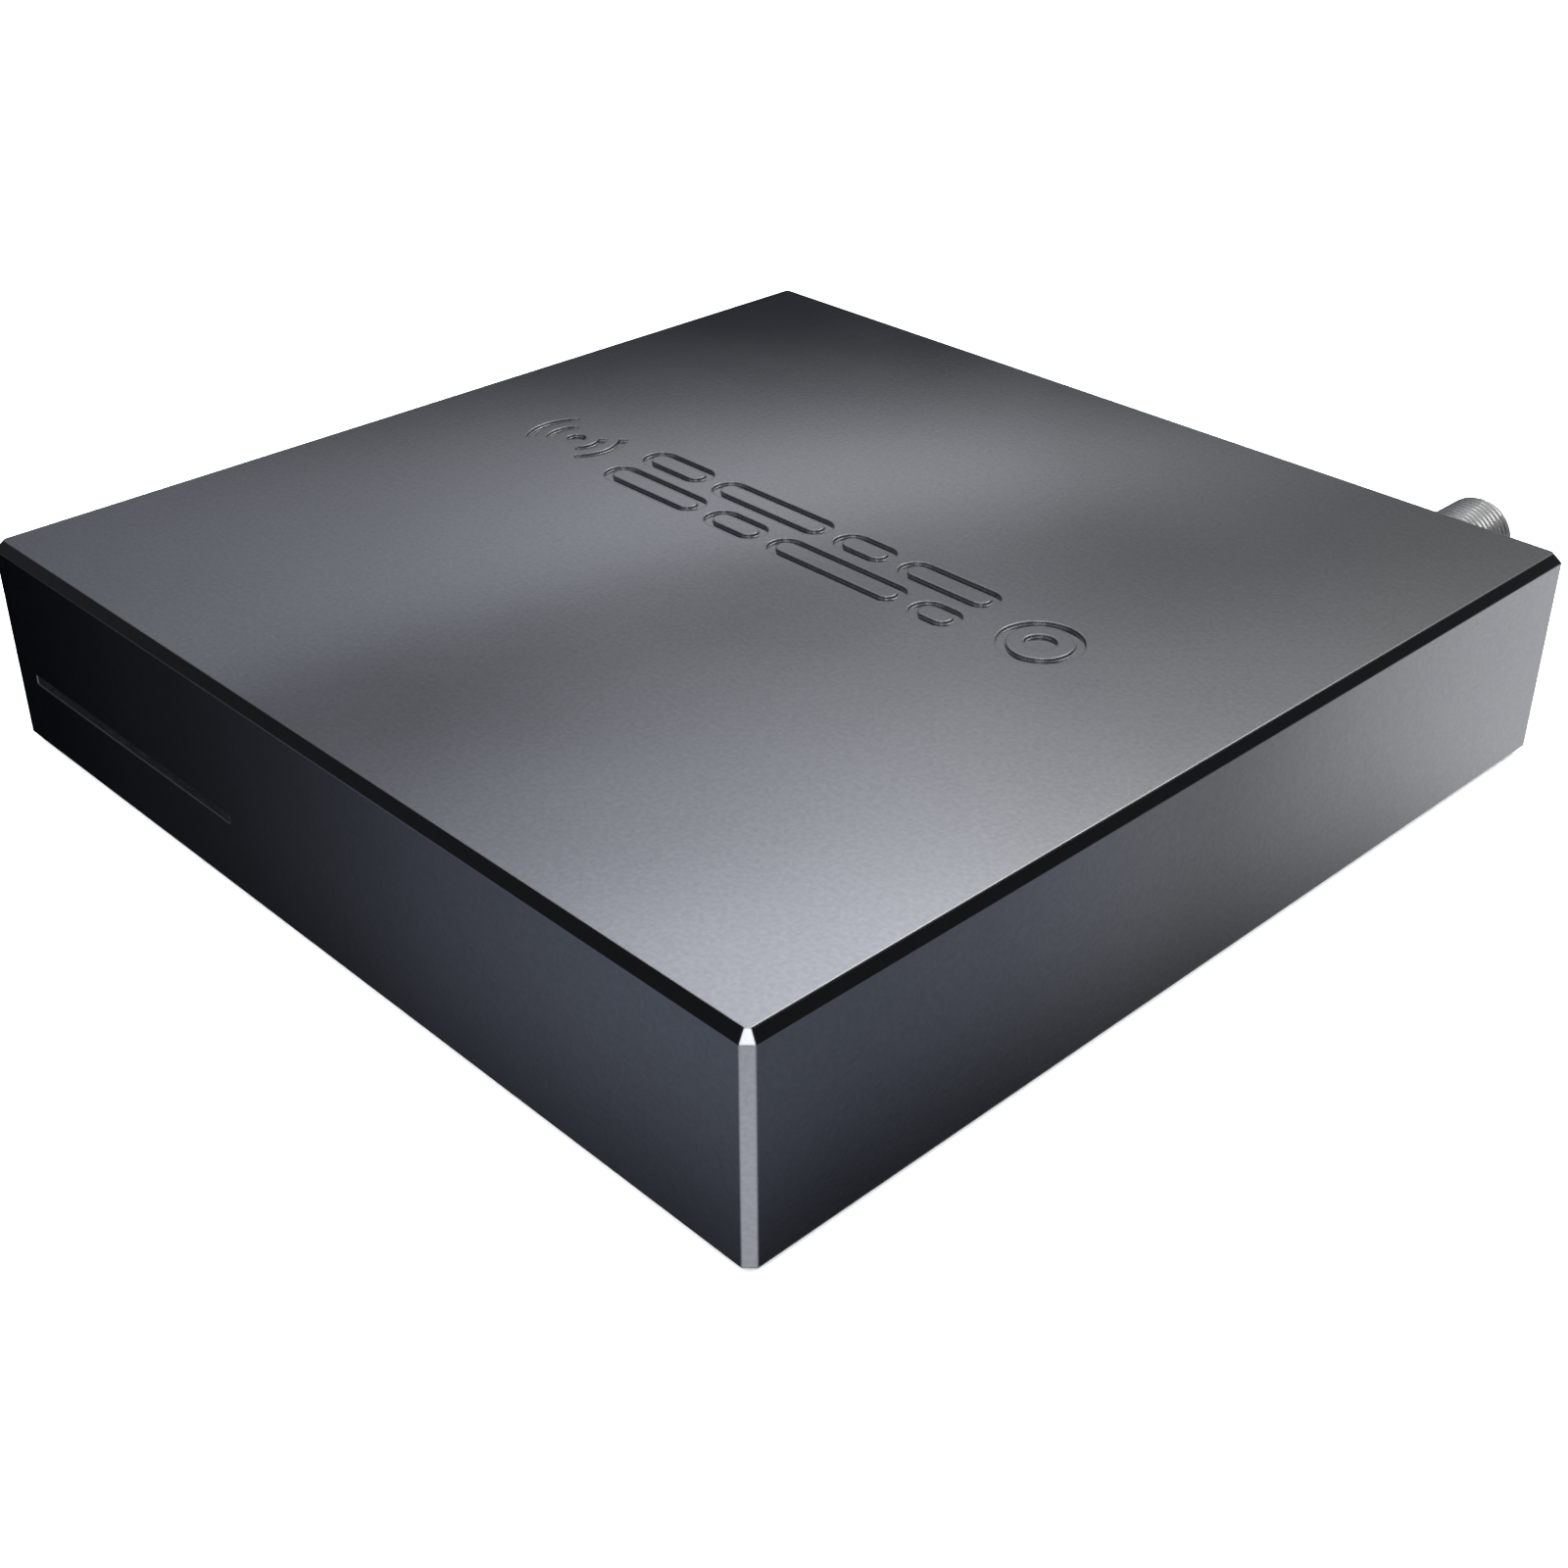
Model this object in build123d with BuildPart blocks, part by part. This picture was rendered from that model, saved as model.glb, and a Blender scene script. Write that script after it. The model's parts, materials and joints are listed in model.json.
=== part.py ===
from build123d import *
import math
import os

# Compact network television recorder: a square, flat metal box that holds a tuner and recorder
# board and a 2.5-inch hard drive. Millimetres. +X is to the right seen from the front, +Y is to
# the rear and +Z is up. The origin is on the table, under the middle of the whole object.

os.makedirs("parts", exist_ok=True)

# ------------------------------------------------------------------ driving dimensions
# Enclosure
width = 128.0
depth = 128.0
foot_proud = 0.9
shell_height = 25.4
wall = 2.0
edge_chamfer = 1.0
rim_chamfer = 0.3
inner_corner_radius = 1.5

# Underside
tray_recess = 0.6
tray_thickness = 1.2
foot_radius = 6.0
foot_offset = 48.0
boss_offset = 58.6
boss_radius = 3.6
pilot_radius = 1.35
pilot_depth = 9.0

# Emblem on the lid: a row of plain shapes let into the metal
emblem_y = 4.0
emblem_depth = 0.35
emblem_stroke = 1.1

# Status light slot on the front
light_left = -58.5
light_right = -16.3
light_height = 1.1
light_drop = 0.64 * shell_height

# Rear sockets: where each axis stands
antenna_x = 44.5
antenna_z = 17.0
antenna_reach = 16.5
network_x = 16.0
reset_x = -6.0
power_x = -38.0

# Board and drive
standoff_height = 2.5
board_thickness = 1.6
post_height = 2.0
bracket_thickness = 1.0
grommet_flange = 0.8
drive_x = -5.0
drive_y = -15.0
drive_length = 100.2
drive_width = 69.85
drive_height = 7.0

# ------------------------------------------------------------------ derived levels
front_y = -depth / 2
rear_y = depth / 2
rim_z = foot_proud
top_z = rim_z + shell_height
ceiling_z = top_z - wall
inner_half = width / 2 - wall
tray_z = rim_z + tray_recess
floor_z = tray_z + tray_thickness
board_z = floor_z + standoff_height
board_top = board_z + board_thickness
bracket_z = board_top + post_height
bracket_top = bracket_z + bracket_thickness
drive_z = bracket_top + grommet_flange
drive_top = drive_z + drive_height
light_z = top_z - light_drop


# The aerial socket stands out behind the shell, so the middle of the shell lies a little in
# front of the origin. Every Y below is measured from the middle of the shell, and these planes
# carry it into the object's own frame.
shell_y = -antenna_reach / 2


def level(z):
    """Flat plane at height z, extrudes upwards."""
    return Plane(origin=(0, shell_y, z), x_dir=(1, 0, 0), z_dir=(0, 0, 1))


def facing_front(y):
    """Upright plane at the given Y: +X right, +Z up, extrudes towards the front."""
    return Plane(origin=(0, shell_y + y, 0), x_dir=(1, 0, 0), z_dir=(0, -1, 0))


def facing_rear(x, y, z):
    """Upright plane whose axis passes through x, z: +Z up, extrudes towards the rear."""
    return Plane(origin=(x, shell_y + y, z), x_dir=(-1, 0, 0), z_dir=(0, 1, 0))


def facing_right(x):
    """Upright plane at the given X: +Y right, +Z up, extrudes towards +X."""
    return Plane(origin=(x, shell_y, 0), x_dir=(0, 1, 0), z_dir=(1, 0, 0))


# ------------------------------------------------------------------ emblem
# A generic picture of a broadcast: an aerial with waves, programme blocks in two rows,
# and a record dot. Outlines of one stroke width.
wave_radii = (3.4, 6.0)
wave_half_angle = 42.0
aerial_x = -40.5
block_height = 4.6
block_gap = 1.7
upper_blocks = (11.0, 19.0, 8.5, 14.0)
lower_blocks = (16.5, 9.0, 20.5, 6.5)
blocks_left = -30.0
record_x = 36.5
record_radius = 4.8

with BuildSketch(level(top_z)) as emblem:
    with Locations((aerial_x, emblem_y)):
        Circle(1.2)
    with BuildLine():
        for wave_radius in wave_radii:
            for side in (0, 180):
                CenterArc(
                    (aerial_x, emblem_y), wave_radius, side - wave_half_angle, 2 * wave_half_angle
                )
    trace(line_width=emblem_stroke)
    for row_side, block_lengths in ((1, upper_blocks), (-1, lower_blocks)):
        block_start = blocks_left
        block_y = emblem_y + row_side * (block_height + block_gap) / 2
        for block_length in block_lengths:
            with Locations((block_start + block_length / 2, block_y)):
                SlotOverall(block_length, block_height)
                SlotOverall(
                    block_length - 2 * emblem_stroke,
                    block_height - 2 * emblem_stroke,
                    mode=Mode.SUBTRACT,
                )
            block_start += block_length + block_gap
    with Locations((record_x, emblem_y)):
        Circle(record_radius)
        Circle(record_radius - emblem_stroke, mode=Mode.SUBTRACT)
        Circle(1.8)

# ------------------------------------------------------------------ top cover
window_half = 53.0
window_low = rim_z + 3.5
window_high = 23.6
light_centre = (light_left + light_right) / 2
light_length = light_right - light_left

with BuildPart() as top_cover:
    with BuildSketch(level(rim_z)):
        Rectangle(width, depth)
    extrude(amount=shell_height)
    chamfer(top_cover.edges().filter_by(Axis.Z), edge_chamfer)
    chamfer(top_cover.faces().sort_by(Axis.Z)[-1].edges(), edge_chamfer)
    chamfer(top_cover.faces().sort_by(Axis.Z)[0].edges(), rim_chamfer)
    with BuildSketch(level(rim_z)):
        RectangleRounded(2 * inner_half, 2 * inner_half, inner_corner_radius)
    extrude(amount=shell_height - wall, mode=Mode.SUBTRACT)
    with BuildSketch(level(floor_z)):
        with GridLocations(2 * boss_offset, 2 * boss_offset, 2, 2):
            Circle(boss_radius)
    extrude(amount=ceiling_z - floor_z)
    with BuildSketch(level(floor_z)):
        with GridLocations(2 * boss_offset, 2 * boss_offset, 2, 2):
            Circle(pilot_radius)
    extrude(amount=pilot_depth, mode=Mode.SUBTRACT)
    with BuildSketch(facing_front(rear_y)):
        with Locations((0, (window_low + window_high) / 2)):
            RectangleRounded(2 * window_half, window_high - window_low, 1.0)
    extrude(amount=wall, mode=Mode.SUBTRACT)
    with BuildSketch(facing_front(front_y)):
        with Locations((light_centre, light_z)):
            Rectangle(light_length, light_height)
    extrude(amount=-wall, mode=Mode.SUBTRACT)
    extrude(emblem.sketch, amount=-emblem_depth, mode=Mode.SUBTRACT)

top_cover.part.label = "top_cover"
export_step(top_cover.part, "parts/top_cover.step")

# ------------------------------------------------------------------ base tray
tray_half = inner_half - 0.2
flange_height = 3.2
flange_length = 104.0
vent_width = 1.5
vent_length = 26.0
vent_pitch = 4.0
vent_count = 15
vent_y = 30.0
case_head_radius = 2.4
case_shank_radius = 1.3

with BuildPart() as base_tray:
    with BuildSketch(level(tray_z)):
        RectangleRounded(2 * tray_half, 2 * tray_half, inner_corner_radius)
    extrude(amount=tray_thickness)
    with BuildSketch(level(floor_z)):
        with Locations((0, -tray_half + tray_thickness / 2)):
            Rectangle(flange_length, tray_thickness)
        with GridLocations(2 * tray_half - tray_thickness, 0, 2, 1):
            Rectangle(tray_thickness, flange_length)
    extrude(amount=flange_height)
    with BuildSketch(level(tray_z)):
        with GridLocations(vent_pitch, 2 * vent_y, vent_count, 2):
            SlotOverall(vent_length, vent_width, rotation=90)
    extrude(amount=tray_thickness, mode=Mode.SUBTRACT)
    with Locations(Plane(origin=(0, shell_y, tray_z), z_dir=(0, 0, -1))):
        with GridLocations(2 * boss_offset, 2 * boss_offset, 2, 2):
            CounterSinkHole(case_shank_radius + 0.15, case_head_radius + 0.1, 5.0)

base_tray.part.label = "base_tray"
export_step(base_tray.part, "parts/base_tray.step")

# ------------------------------------------------------------------ case screws
case_head_height = 1.0
case_screw_length = 8.0
recess_width = 0.6

with BuildPart() as case_screws:
    with BuildSketch(level(tray_z + 0.05)):
        with GridLocations(2 * boss_offset, 2 * boss_offset, 2, 2):
            Circle(case_shank_radius - 0.05)
    extrude(amount=case_screw_length)
    with Locations((0, shell_y, tray_z + 0.05)):
        with GridLocations(2 * boss_offset, 2 * boss_offset, 2, 2):
            Cone(
                case_head_radius - 0.15,
                case_shank_radius - 0.05,
                case_head_height,
                align=(Align.CENTER, Align.CENTER, Align.MIN),
            )
    with BuildSketch(level(tray_z + 0.05)):
        with GridLocations(2 * boss_offset, 2 * boss_offset, 2, 2):
            Rectangle(2.6, recess_width)
            Rectangle(recess_width, 2.6)
    extrude(amount=0.7, mode=Mode.SUBTRACT)

case_screws.part.label = "case_screws"
export_step(case_screws.part, "parts/case_screws.step")

# ------------------------------------------------------------------ feet and blank label
with BuildPart() as rubber_feet:
    with BuildSketch(level(0)):
        with GridLocations(2 * foot_offset, 2 * foot_offset, 2, 2):
            Circle(foot_radius)
    extrude(amount=tray_z)
    chamfer(rubber_feet.edges().group_by(Axis.Z)[0], 0.4)

rubber_feet.part.label = "rubber_feet"
export_step(rubber_feet.part, "parts/rubber_feet.step")

label_thickness = 0.15

with BuildPart() as blank_label:
    with BuildSketch(level(tray_z - label_thickness)):
        RectangleRounded(52.0, 24.0, 1.5)
    extrude(amount=label_thickness)

blank_label.part.label = "blank_label"
export_step(blank_label.part, "parts/blank_label.step")

# ------------------------------------------------------------------ rear panel
panel_half = window_half + 1.6
panel_low = floor_z + 0.2
panel_high = ceiling_z - 0.2
panel_back_y = 60.2
panel_step_y = 61.7
panel_face_y = 63.2
network_half = 8.0
network_low = board_top
network_high = board_top + 13.4
power_half = 4.5
power_high = board_top + 11.0
reset_z = board_top + 2.4
reset_hole_radius = 1.0

with BuildPart() as rear_panel:
    with BuildSketch(facing_front(panel_step_y)):
        with Locations((0, (panel_low + panel_high) / 2)):
            Rectangle(2 * panel_half, panel_high - panel_low)
    extrude(amount=panel_step_y - panel_back_y)
    with BuildSketch(facing_front(panel_face_y)):
        with Locations((0, (window_low + window_high) / 2)):
            RectangleRounded(
                2 * window_half - 0.4, window_high - window_low - 0.4, 0.9
            )
    extrude(amount=panel_face_y - panel_step_y)
    with BuildSketch(facing_front(panel_face_y)):
        with Locations((antenna_x, antenna_z)):
            Circle(4.95)
        with Locations((network_x, (network_low + network_high) / 2)):
            Rectangle(2 * network_half + 0.4, network_high - network_low + 0.4)
        with Locations((power_x, (board_top + power_high) / 2)):
            Rectangle(2 * power_half + 0.4, power_high - board_top + 0.4)
        with Locations((reset_x, reset_z)):
            Circle(reset_hole_radius)
    extrude(amount=panel_face_y - panel_back_y, mode=Mode.SUBTRACT)

rear_panel.part.label = "rear_panel"
export_step(rear_panel.part, "parts/rear_panel.step")

# ------------------------------------------------------------------ status light bar
bar_left = -54.3
bar_right = -16.9
bar_back_y = -58.5

with BuildPart() as status_light_bar:
    with BuildSketch(facing_front(front_y + 0.05)):
        with Locations((light_centre, light_z)):
            Rectangle(light_length - 0.1, light_height - 0.1)
    extrude(amount=-(wall - 0.05))
    with BuildSketch(facing_front(front_y + wall)):
        with Locations(((bar_left + bar_right) / 2, light_z - 0.7)):
            Rectangle(bar_right - bar_left, 3.0)
    extrude(amount=-(bar_back_y - front_y - wall))

status_light_bar.part.label = "status_light_bar"
export_step(status_light_bar.part, "parts/status_light_bar.step")

# ------------------------------------------------------------------ aerial socket
# Coaxial socket with a 3/8-inch by 32 thread. The thread is drawn at its major diameter
# where it is free, and at its root diameter through the panel, the washer and the nut.
thread_radius = 4.76
thread_root_radius = 4.3
thread_runout = 0.4
block_back_y = 47.0
block_front_y = 60.1
barrel_end_y = rear_y + antenna_reach
insulator_radius = 3.4
washer_radius = 6.4
washer_thickness = 0.8
nut_height = 2.4
nut_flats = 12.7
nut_y = panel_face_y + washer_thickness
thread_start_y = nut_y + nut_height + thread_runout

with BuildPart() as antenna_connector_body:
    with BuildSketch(facing_front(block_front_y)):
        with Locations((antenna_x, (board_top + antenna_z + 6.0) / 2)):
            Rectangle(13.0, antenna_z + 6.0 - board_top)
    extrude(amount=block_front_y - block_back_y)
    chamfer(antenna_connector_body.edges().filter_by(Axis.Y).group_by(Axis.Z)[-1], 1.2)
    with BuildSketch(facing_rear(antenna_x, block_front_y, antenna_z)):
        Circle(thread_root_radius)
    extrude(amount=barrel_end_y - block_front_y)
    with BuildSketch(facing_rear(antenna_x, thread_start_y, antenna_z)):
        Circle(thread_radius)
    extrude(amount=barrel_end_y - thread_start_y)
    chamfer(antenna_connector_body.edges().group_by(Axis.Y)[-1], 0.4)
    with BuildSketch(facing_rear(antenna_x, block_back_y + 3.0, antenna_z)):
        Circle(insulator_radius)
    extrude(amount=barrel_end_y - block_back_y, mode=Mode.SUBTRACT)

antenna_connector_body.part.label = "antenna_connector_body"
export_step(antenna_connector_body.part, "parts/antenna_connector_body.step")

with BuildPart() as antenna_connector_insulator:
    with BuildSketch(facing_rear(antenna_x, block_back_y + 3.2, antenna_z)):
        Circle(insulator_radius - 0.05)
        Circle(1.0, mode=Mode.SUBTRACT)
    extrude(amount=barrel_end_y - block_back_y - 4.0)
    chamfer(antenna_connector_insulator.edges().group_by(Axis.Y)[-1].sort_by(SortBy.RADIUS)[0], 0.6)

antenna_connector_insulator.part.label = "antenna_connector_insulator"
export_step(antenna_connector_insulator.part, "parts/antenna_connector_insulator.step")

with BuildPart() as antenna_connector_contact:
    with BuildSketch(facing_rear(antenna_x, block_back_y + 4.0, antenna_z)):
        Circle(0.95)
        Circle(0.55, mode=Mode.SUBTRACT)
    extrude(amount=barrel_end_y - block_back_y - 6.5)

antenna_connector_contact.part.label = "antenna_connector_contact"
export_step(antenna_connector_contact.part, "parts/antenna_connector_contact.step")

with BuildPart() as antenna_connector_washer:
    with BuildSketch(facing_rear(antenna_x, panel_face_y, antenna_z)):
        Circle(washer_radius)
        Circle(thread_radius + 0.1, mode=Mode.SUBTRACT)
        with PolarLocations(washer_radius, 16):
            Rectangle(1.2, 0.7, mode=Mode.SUBTRACT)
    extrude(amount=washer_thickness)

antenna_connector_washer.part.label = "antenna_connector_washer"
export_step(antenna_connector_washer.part, "parts/antenna_connector_washer.step")

with BuildPart() as antenna_connector_nut:
    with BuildSketch(facing_rear(antenna_x, nut_y, antenna_z)):
        RegularPolygon(nut_flats / 2, 6, major_radius=False)
    extrude(amount=nut_height)
    with BuildSketch(facing_rear(antenna_x, nut_y, antenna_z)):
        Circle(nut_flats / math.sqrt(3) - 0.25)
    extrude(amount=nut_height, taper=8, mode=Mode.INTERSECT)
    with BuildSketch(facing_rear(antenna_x, nut_y, antenna_z)):
        Circle(thread_root_radius + 0.06)
    extrude(amount=nut_height, mode=Mode.SUBTRACT)

antenna_connector_nut.part.label = "antenna_connector_nut"
export_step(antenna_connector_nut.part, "parts/antenna_connector_nut.step")

# ------------------------------------------------------------------ network jack
# Eight-way modular jack, latch side down.
jack_depth = 21.2
shield_sheet = 0.3
housing_half = network_half - shield_sheet - 0.05
housing_high = network_high - shield_sheet - 0.05
plug_half = 5.95
plug_low = board_top + 4.3
plug_high = board_top + 11.3
plug_depth = 13.0

with BuildPart() as network_jack_shield:
    with BuildSketch(facing_front(panel_face_y)):
        with Locations((network_x, (network_low + network_high) / 2)):
            Rectangle(2 * network_half, network_high - network_low)
    extrude(amount=jack_depth)
    with BuildSketch(facing_front(panel_face_y)):
        with Locations((network_x, (network_low + network_high - shield_sheet) / 2)):
            Rectangle(
                2 * (network_half - shield_sheet), network_high - network_low - shield_sheet
            )
    extrude(amount=jack_depth - shield_sheet, mode=Mode.SUBTRACT)

network_jack_shield.part.label = "network_jack_shield"
export_step(network_jack_shield.part, "parts/network_jack_shield.step")

with BuildPart() as network_jack_housing:
    with BuildSketch(facing_front(panel_face_y - 0.1)):
        with Locations((network_x, (network_low + housing_high) / 2)):
            Rectangle(2 * housing_half, housing_high - network_low)
    extrude(amount=jack_depth - shield_sheet - 0.15)
    with BuildSketch(facing_front(panel_face_y)):
        with Locations((network_x, (plug_low + plug_high) / 2)):
            Rectangle(2 * plug_half, plug_high - plug_low)
        with Locations((network_x, plug_low - 0.75)):
            Rectangle(6.2, 1.5)
        with Locations((network_x, plug_low - 2.15)):
            Rectangle(3.3, 1.3)
    extrude(amount=plug_depth, mode=Mode.SUBTRACT)
    with BuildSketch(facing_front(panel_face_y)):
        with Locations((network_x - 5.4, plug_high + 0.95), (network_x + 5.4, plug_high + 0.95)):
            Rectangle(3.2, 1.2)
    extrude(amount=3.0, mode=Mode.SUBTRACT)

network_jack_housing.part.label = "network_jack_housing"
export_step(network_jack_housing.part, "parts/network_jack_housing.step")

contact_pitch = 1.02
contact_wire = 0.35
contact_root_y = panel_face_y - plug_depth + 0.05

with BuildPart() as network_jack_contacts:
    for wire_number in range(8):
        wire_x = network_x + (wire_number - 3.5) * contact_pitch
        with BuildSketch(facing_right(wire_x - contact_wire / 2)):
            with BuildLine():
                Polyline(
                    (contact_root_y, plug_high - 1.9),
                    (contact_root_y + 9.2, plug_high - 0.45),
                    (contact_root_y + 9.2, plug_high - 0.1),
                    (contact_root_y, plug_high - 1.55),
                    close=True,
                )
            make_face()
        extrude(amount=contact_wire)

network_jack_contacts.part.label = "network_jack_contacts"
export_step(network_jack_contacts.part, "parts/network_jack_contacts.step")

with BuildPart() as network_jack_lights:
    with BuildSketch(facing_front(panel_face_y - 0.1)):
        with Locations((network_x - 5.4, plug_high + 0.95), (network_x + 5.4, plug_high + 0.95)):
            Rectangle(3.1, 1.1)
    extrude(amount=2.8)

network_jack_lights.part.label = "network_jack_lights"
export_step(network_jack_lights.part, "parts/network_jack_lights.step")

with BuildPart() as network_transformer:
    with BuildSketch(level(board_top)):
        with Locations((network_x, 33.0)):
            Rectangle(16.0, 9.0)
    extrude(amount=3.4)
    chamfer(network_transformer.edges().group_by(Axis.Z)[-1], 0.4)

network_transformer.part.label = "network_transformer"
export_step(network_transformer.part, "parts/network_transformer.step")

# ------------------------------------------------------------------ power jack
# Barrel socket for a 5.5 by 2.1 mm plug.
power_depth = 14.2
power_axis_z = board_top + 6.5
socket_radius = 3.15
socket_depth = 9.8
power_pin_radius = 1.0
spring_slot_low = power_axis_z - 4.6

with BuildPart() as power_jack_housing:
    with BuildSketch(facing_front(panel_face_y)):
        with Locations((power_x, (board_top + power_high) / 2)):
            Rectangle(2 * power_half, power_high - board_top)
    extrude(amount=power_depth)
    with BuildSketch(facing_rear(power_x, panel_face_y - socket_depth, power_axis_z)):
        Circle(socket_radius)
    extrude(amount=socket_depth, mode=Mode.SUBTRACT)
    with BuildSketch(facing_front(panel_face_y - 1.6)):
        with Locations((power_x, (spring_slot_low + power_axis_z) / 2)):
            Rectangle(2.6, power_axis_z - spring_slot_low)
    extrude(amount=socket_depth - 1.6, mode=Mode.SUBTRACT)

power_jack_housing.part.label = "power_jack_housing"
export_step(power_jack_housing.part, "parts/power_jack_housing.step")

with BuildPart() as power_jack_pin:
    with BuildSketch(facing_rear(power_x, panel_face_y - socket_depth, power_axis_z)):
        Circle(power_pin_radius)
    extrude(amount=socket_depth - 0.8)
    fillet(power_jack_pin.edges().group_by(Axis.Y)[-1], 0.5)

power_jack_pin.part.label = "power_jack_pin"
export_step(power_jack_pin.part, "parts/power_jack_pin.step")

spring_back_y = panel_face_y - socket_depth + 0.1
spring_low = power_axis_z - 4.5

with BuildPart() as power_jack_spring:
    with BuildSketch(facing_right(power_x - 1.1)):
        with BuildLine():
            Polyline(
                (spring_back_y, spring_low),
                (spring_back_y + 4.8, spring_low + 1.1),
                (spring_back_y + 7.2, spring_low + 0.3),
                (spring_back_y + 7.2, spring_low + 0.55),
                (spring_back_y + 4.8, spring_low + 1.35),
                (spring_back_y, spring_low + 0.25),
                close=True,
            )
        make_face()
    extrude(amount=2.2)

power_jack_spring.part.label = "power_jack_spring"
export_step(power_jack_spring.part, "parts/power_jack_spring.step")

# ------------------------------------------------------------------ reset switch
# The plunger's flange is held behind the front plate and travels 0.3 mm inwards.
switch_face_y = 55.5
switch_depth = 4.5
switch_plate = 0.3
pocket_radius = 2.1
pocket_depth = 1.6
plunger_radius = reset_hole_radius - 0.2
plunger_end_y = panel_face_y - 0.6
flange_y = 54.45

with BuildPart() as reset_switch_body:
    with BuildSketch(facing_front(switch_face_y)):
        with Locations((reset_x, reset_z)):
            Rectangle(6.2, 2 * (reset_z - board_top))
    extrude(amount=switch_depth)
    with BuildSketch(facing_rear(reset_x, switch_face_y - pocket_depth, reset_z)):
        Circle(pocket_radius)
    extrude(amount=pocket_depth, mode=Mode.SUBTRACT)

reset_switch_body.part.label = "reset_switch_body"
export_step(reset_switch_body.part, "parts/reset_switch_body.step")

with BuildPart() as reset_switch_plate:
    with BuildSketch(facing_rear(reset_x, switch_face_y, reset_z)):
        Rectangle(6.2, 2 * (reset_z - board_top))
        Circle(plunger_radius + 0.08, mode=Mode.SUBTRACT)
    extrude(amount=switch_plate)

reset_switch_plate.part.label = "reset_switch_plate"
export_step(reset_switch_plate.part, "parts/reset_switch_plate.step")

with BuildPart() as reset_plunger:
    with BuildSketch(facing_rear(reset_x, flange_y, reset_z)):
        Circle(pocket_radius - 0.2)
    extrude(amount=0.7)
    with BuildSketch(facing_rear(reset_x, flange_y, reset_z)):
        Circle(plunger_radius)
    extrude(amount=plunger_end_y - flange_y)
    fillet(reset_plunger.edges().group_by(Axis.Y)[-1], 0.3)

reset_plunger.part.label = "reset_plunger"
export_step(reset_plunger.part, "parts/reset_plunger.step")

# ------------------------------------------------------------------ main board
board_front = -57.5
board_back = 58.5
board_half = 57.0
support_places = [(-44.0, -53.5), (34.0, -53.5), (-44.0, 23.3), (34.0, 23.3)]
board_screw_places = [(-24.0, 53.0), (31.0, 53.0), (53.0, -38.0)]
hole_radius = 1.4
spacer_radius = 2.4
thread_hole_radius = 1.25
screw_shank_radius = 1.2
pan_head_radius = 2.2
pan_head_height = 1.4

with BuildPart() as main_board:
    with BuildSketch(level(board_z)):
        with Locations((0, (board_front + board_back) / 2)):
            Rectangle(2 * board_half, board_back - board_front)
        with GridLocations(2 * boss_offset, 2 * boss_offset, 2, 2):
            Circle(boss_radius + 0.8, mode=Mode.SUBTRACT)
        with Locations(*(support_places + board_screw_places)):
            Circle(hole_radius, mode=Mode.SUBTRACT)
    extrude(amount=board_thickness)

main_board.part.label = "main_board"
export_step(main_board.part, "parts/main_board.step")

with BuildPart() as board_standoffs:
    with BuildSketch(level(floor_z)):
        with Locations(*(support_places + board_screw_places)):
            RegularPolygon(spacer_radius, 6)
            Circle(thread_hole_radius, mode=Mode.SUBTRACT)
    extrude(amount=standoff_height)

board_standoffs.part.label = "board_standoffs"
export_step(board_standoffs.part, "parts/board_standoffs.step")


def pan_head_screws(places, seat_z, shank_length):
    """Pan-head screws, one solid at each place, heads resting on seat_z."""
    with BuildPart() as screws:
        with BuildSketch(level(seat_z - shank_length)):
            with Locations(*places):
                Circle(screw_shank_radius)
        extrude(amount=shank_length)
        with BuildSketch(level(seat_z)):
            with Locations(*places):
                Circle(pan_head_radius)
        extrude(amount=pan_head_height)
        fillet(screws.edges().group_by(Axis.Z)[-1], 0.5)
        with BuildSketch(level(seat_z + pan_head_height)):
            with Locations(*places):
                Rectangle(2.6, recess_width)
                Rectangle(recess_width, 2.6)
        extrude(amount=-0.8, mode=Mode.SUBTRACT)
    return screws


board_screws = pan_head_screws(board_screw_places, board_top, 3.8)
board_screws.part.label = "board_screws"
export_step(board_screws.part, "parts/board_screws.step")


def chip(places, length, breadth, height):
    """Flat moulded packages on the board, one solid at each place."""
    with BuildPart() as packages:
        with BuildSketch(level(board_top)):
            with Locations(*places):
                Rectangle(length, breadth)
        extrude(amount=height)
        chamfer(packages.edges().group_by(Axis.Z)[-1], 0.15)
    return packages


processor_place = (-10.0, 35.0)
processor_height = 1.4
pad_thickness = 0.5

processor_chip = chip([processor_place], 19.0, 19.0, processor_height)
processor_chip.part.label = "processor_chip"
export_step(processor_chip.part, "parts/processor_chip.step")

memory_chips = chip([(-29.0, 29.5), (-29.0, 43.5)], 9.0, 12.0, 1.1)
memory_chips.part.label = "memory_chips"
export_step(memory_chips.part, "parts/memory_chips.step")

flash_chip = chip([(31.0, 39.0)], 8.0, 12.0, 1.2)
flash_chip.part.label = "flash_chip"
export_step(flash_chip.part, "parts/flash_chip.step")

tuner_place = (47.0, 33.5)
tuner_length = 16.0
tuner_breadth = 22.0
tuner_height = 5.0

tuner_chips = chip([(47.0, 28.5), (47.0, 38.5)], 6.0, 6.0, 0.9)
tuner_chips.part.label = "tuner_chips"
export_step(tuner_chips.part, "parts/tuner_chips.step")

with BuildPart() as thermal_pad:
    with BuildSketch(level(board_top + processor_height)):
        with Locations(processor_place):
            Rectangle(17.0, 17.0)
    extrude(amount=pad_thickness)

thermal_pad.part.label = "thermal_pad"
export_step(thermal_pad.part, "parts/thermal_pad.step")

sink_side = 25.0
sink_plate = 1.6
fin_count = 8
fin_thickness = 1.0
fin_height = 6.5
sink_z = board_top + processor_height + pad_thickness

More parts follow.
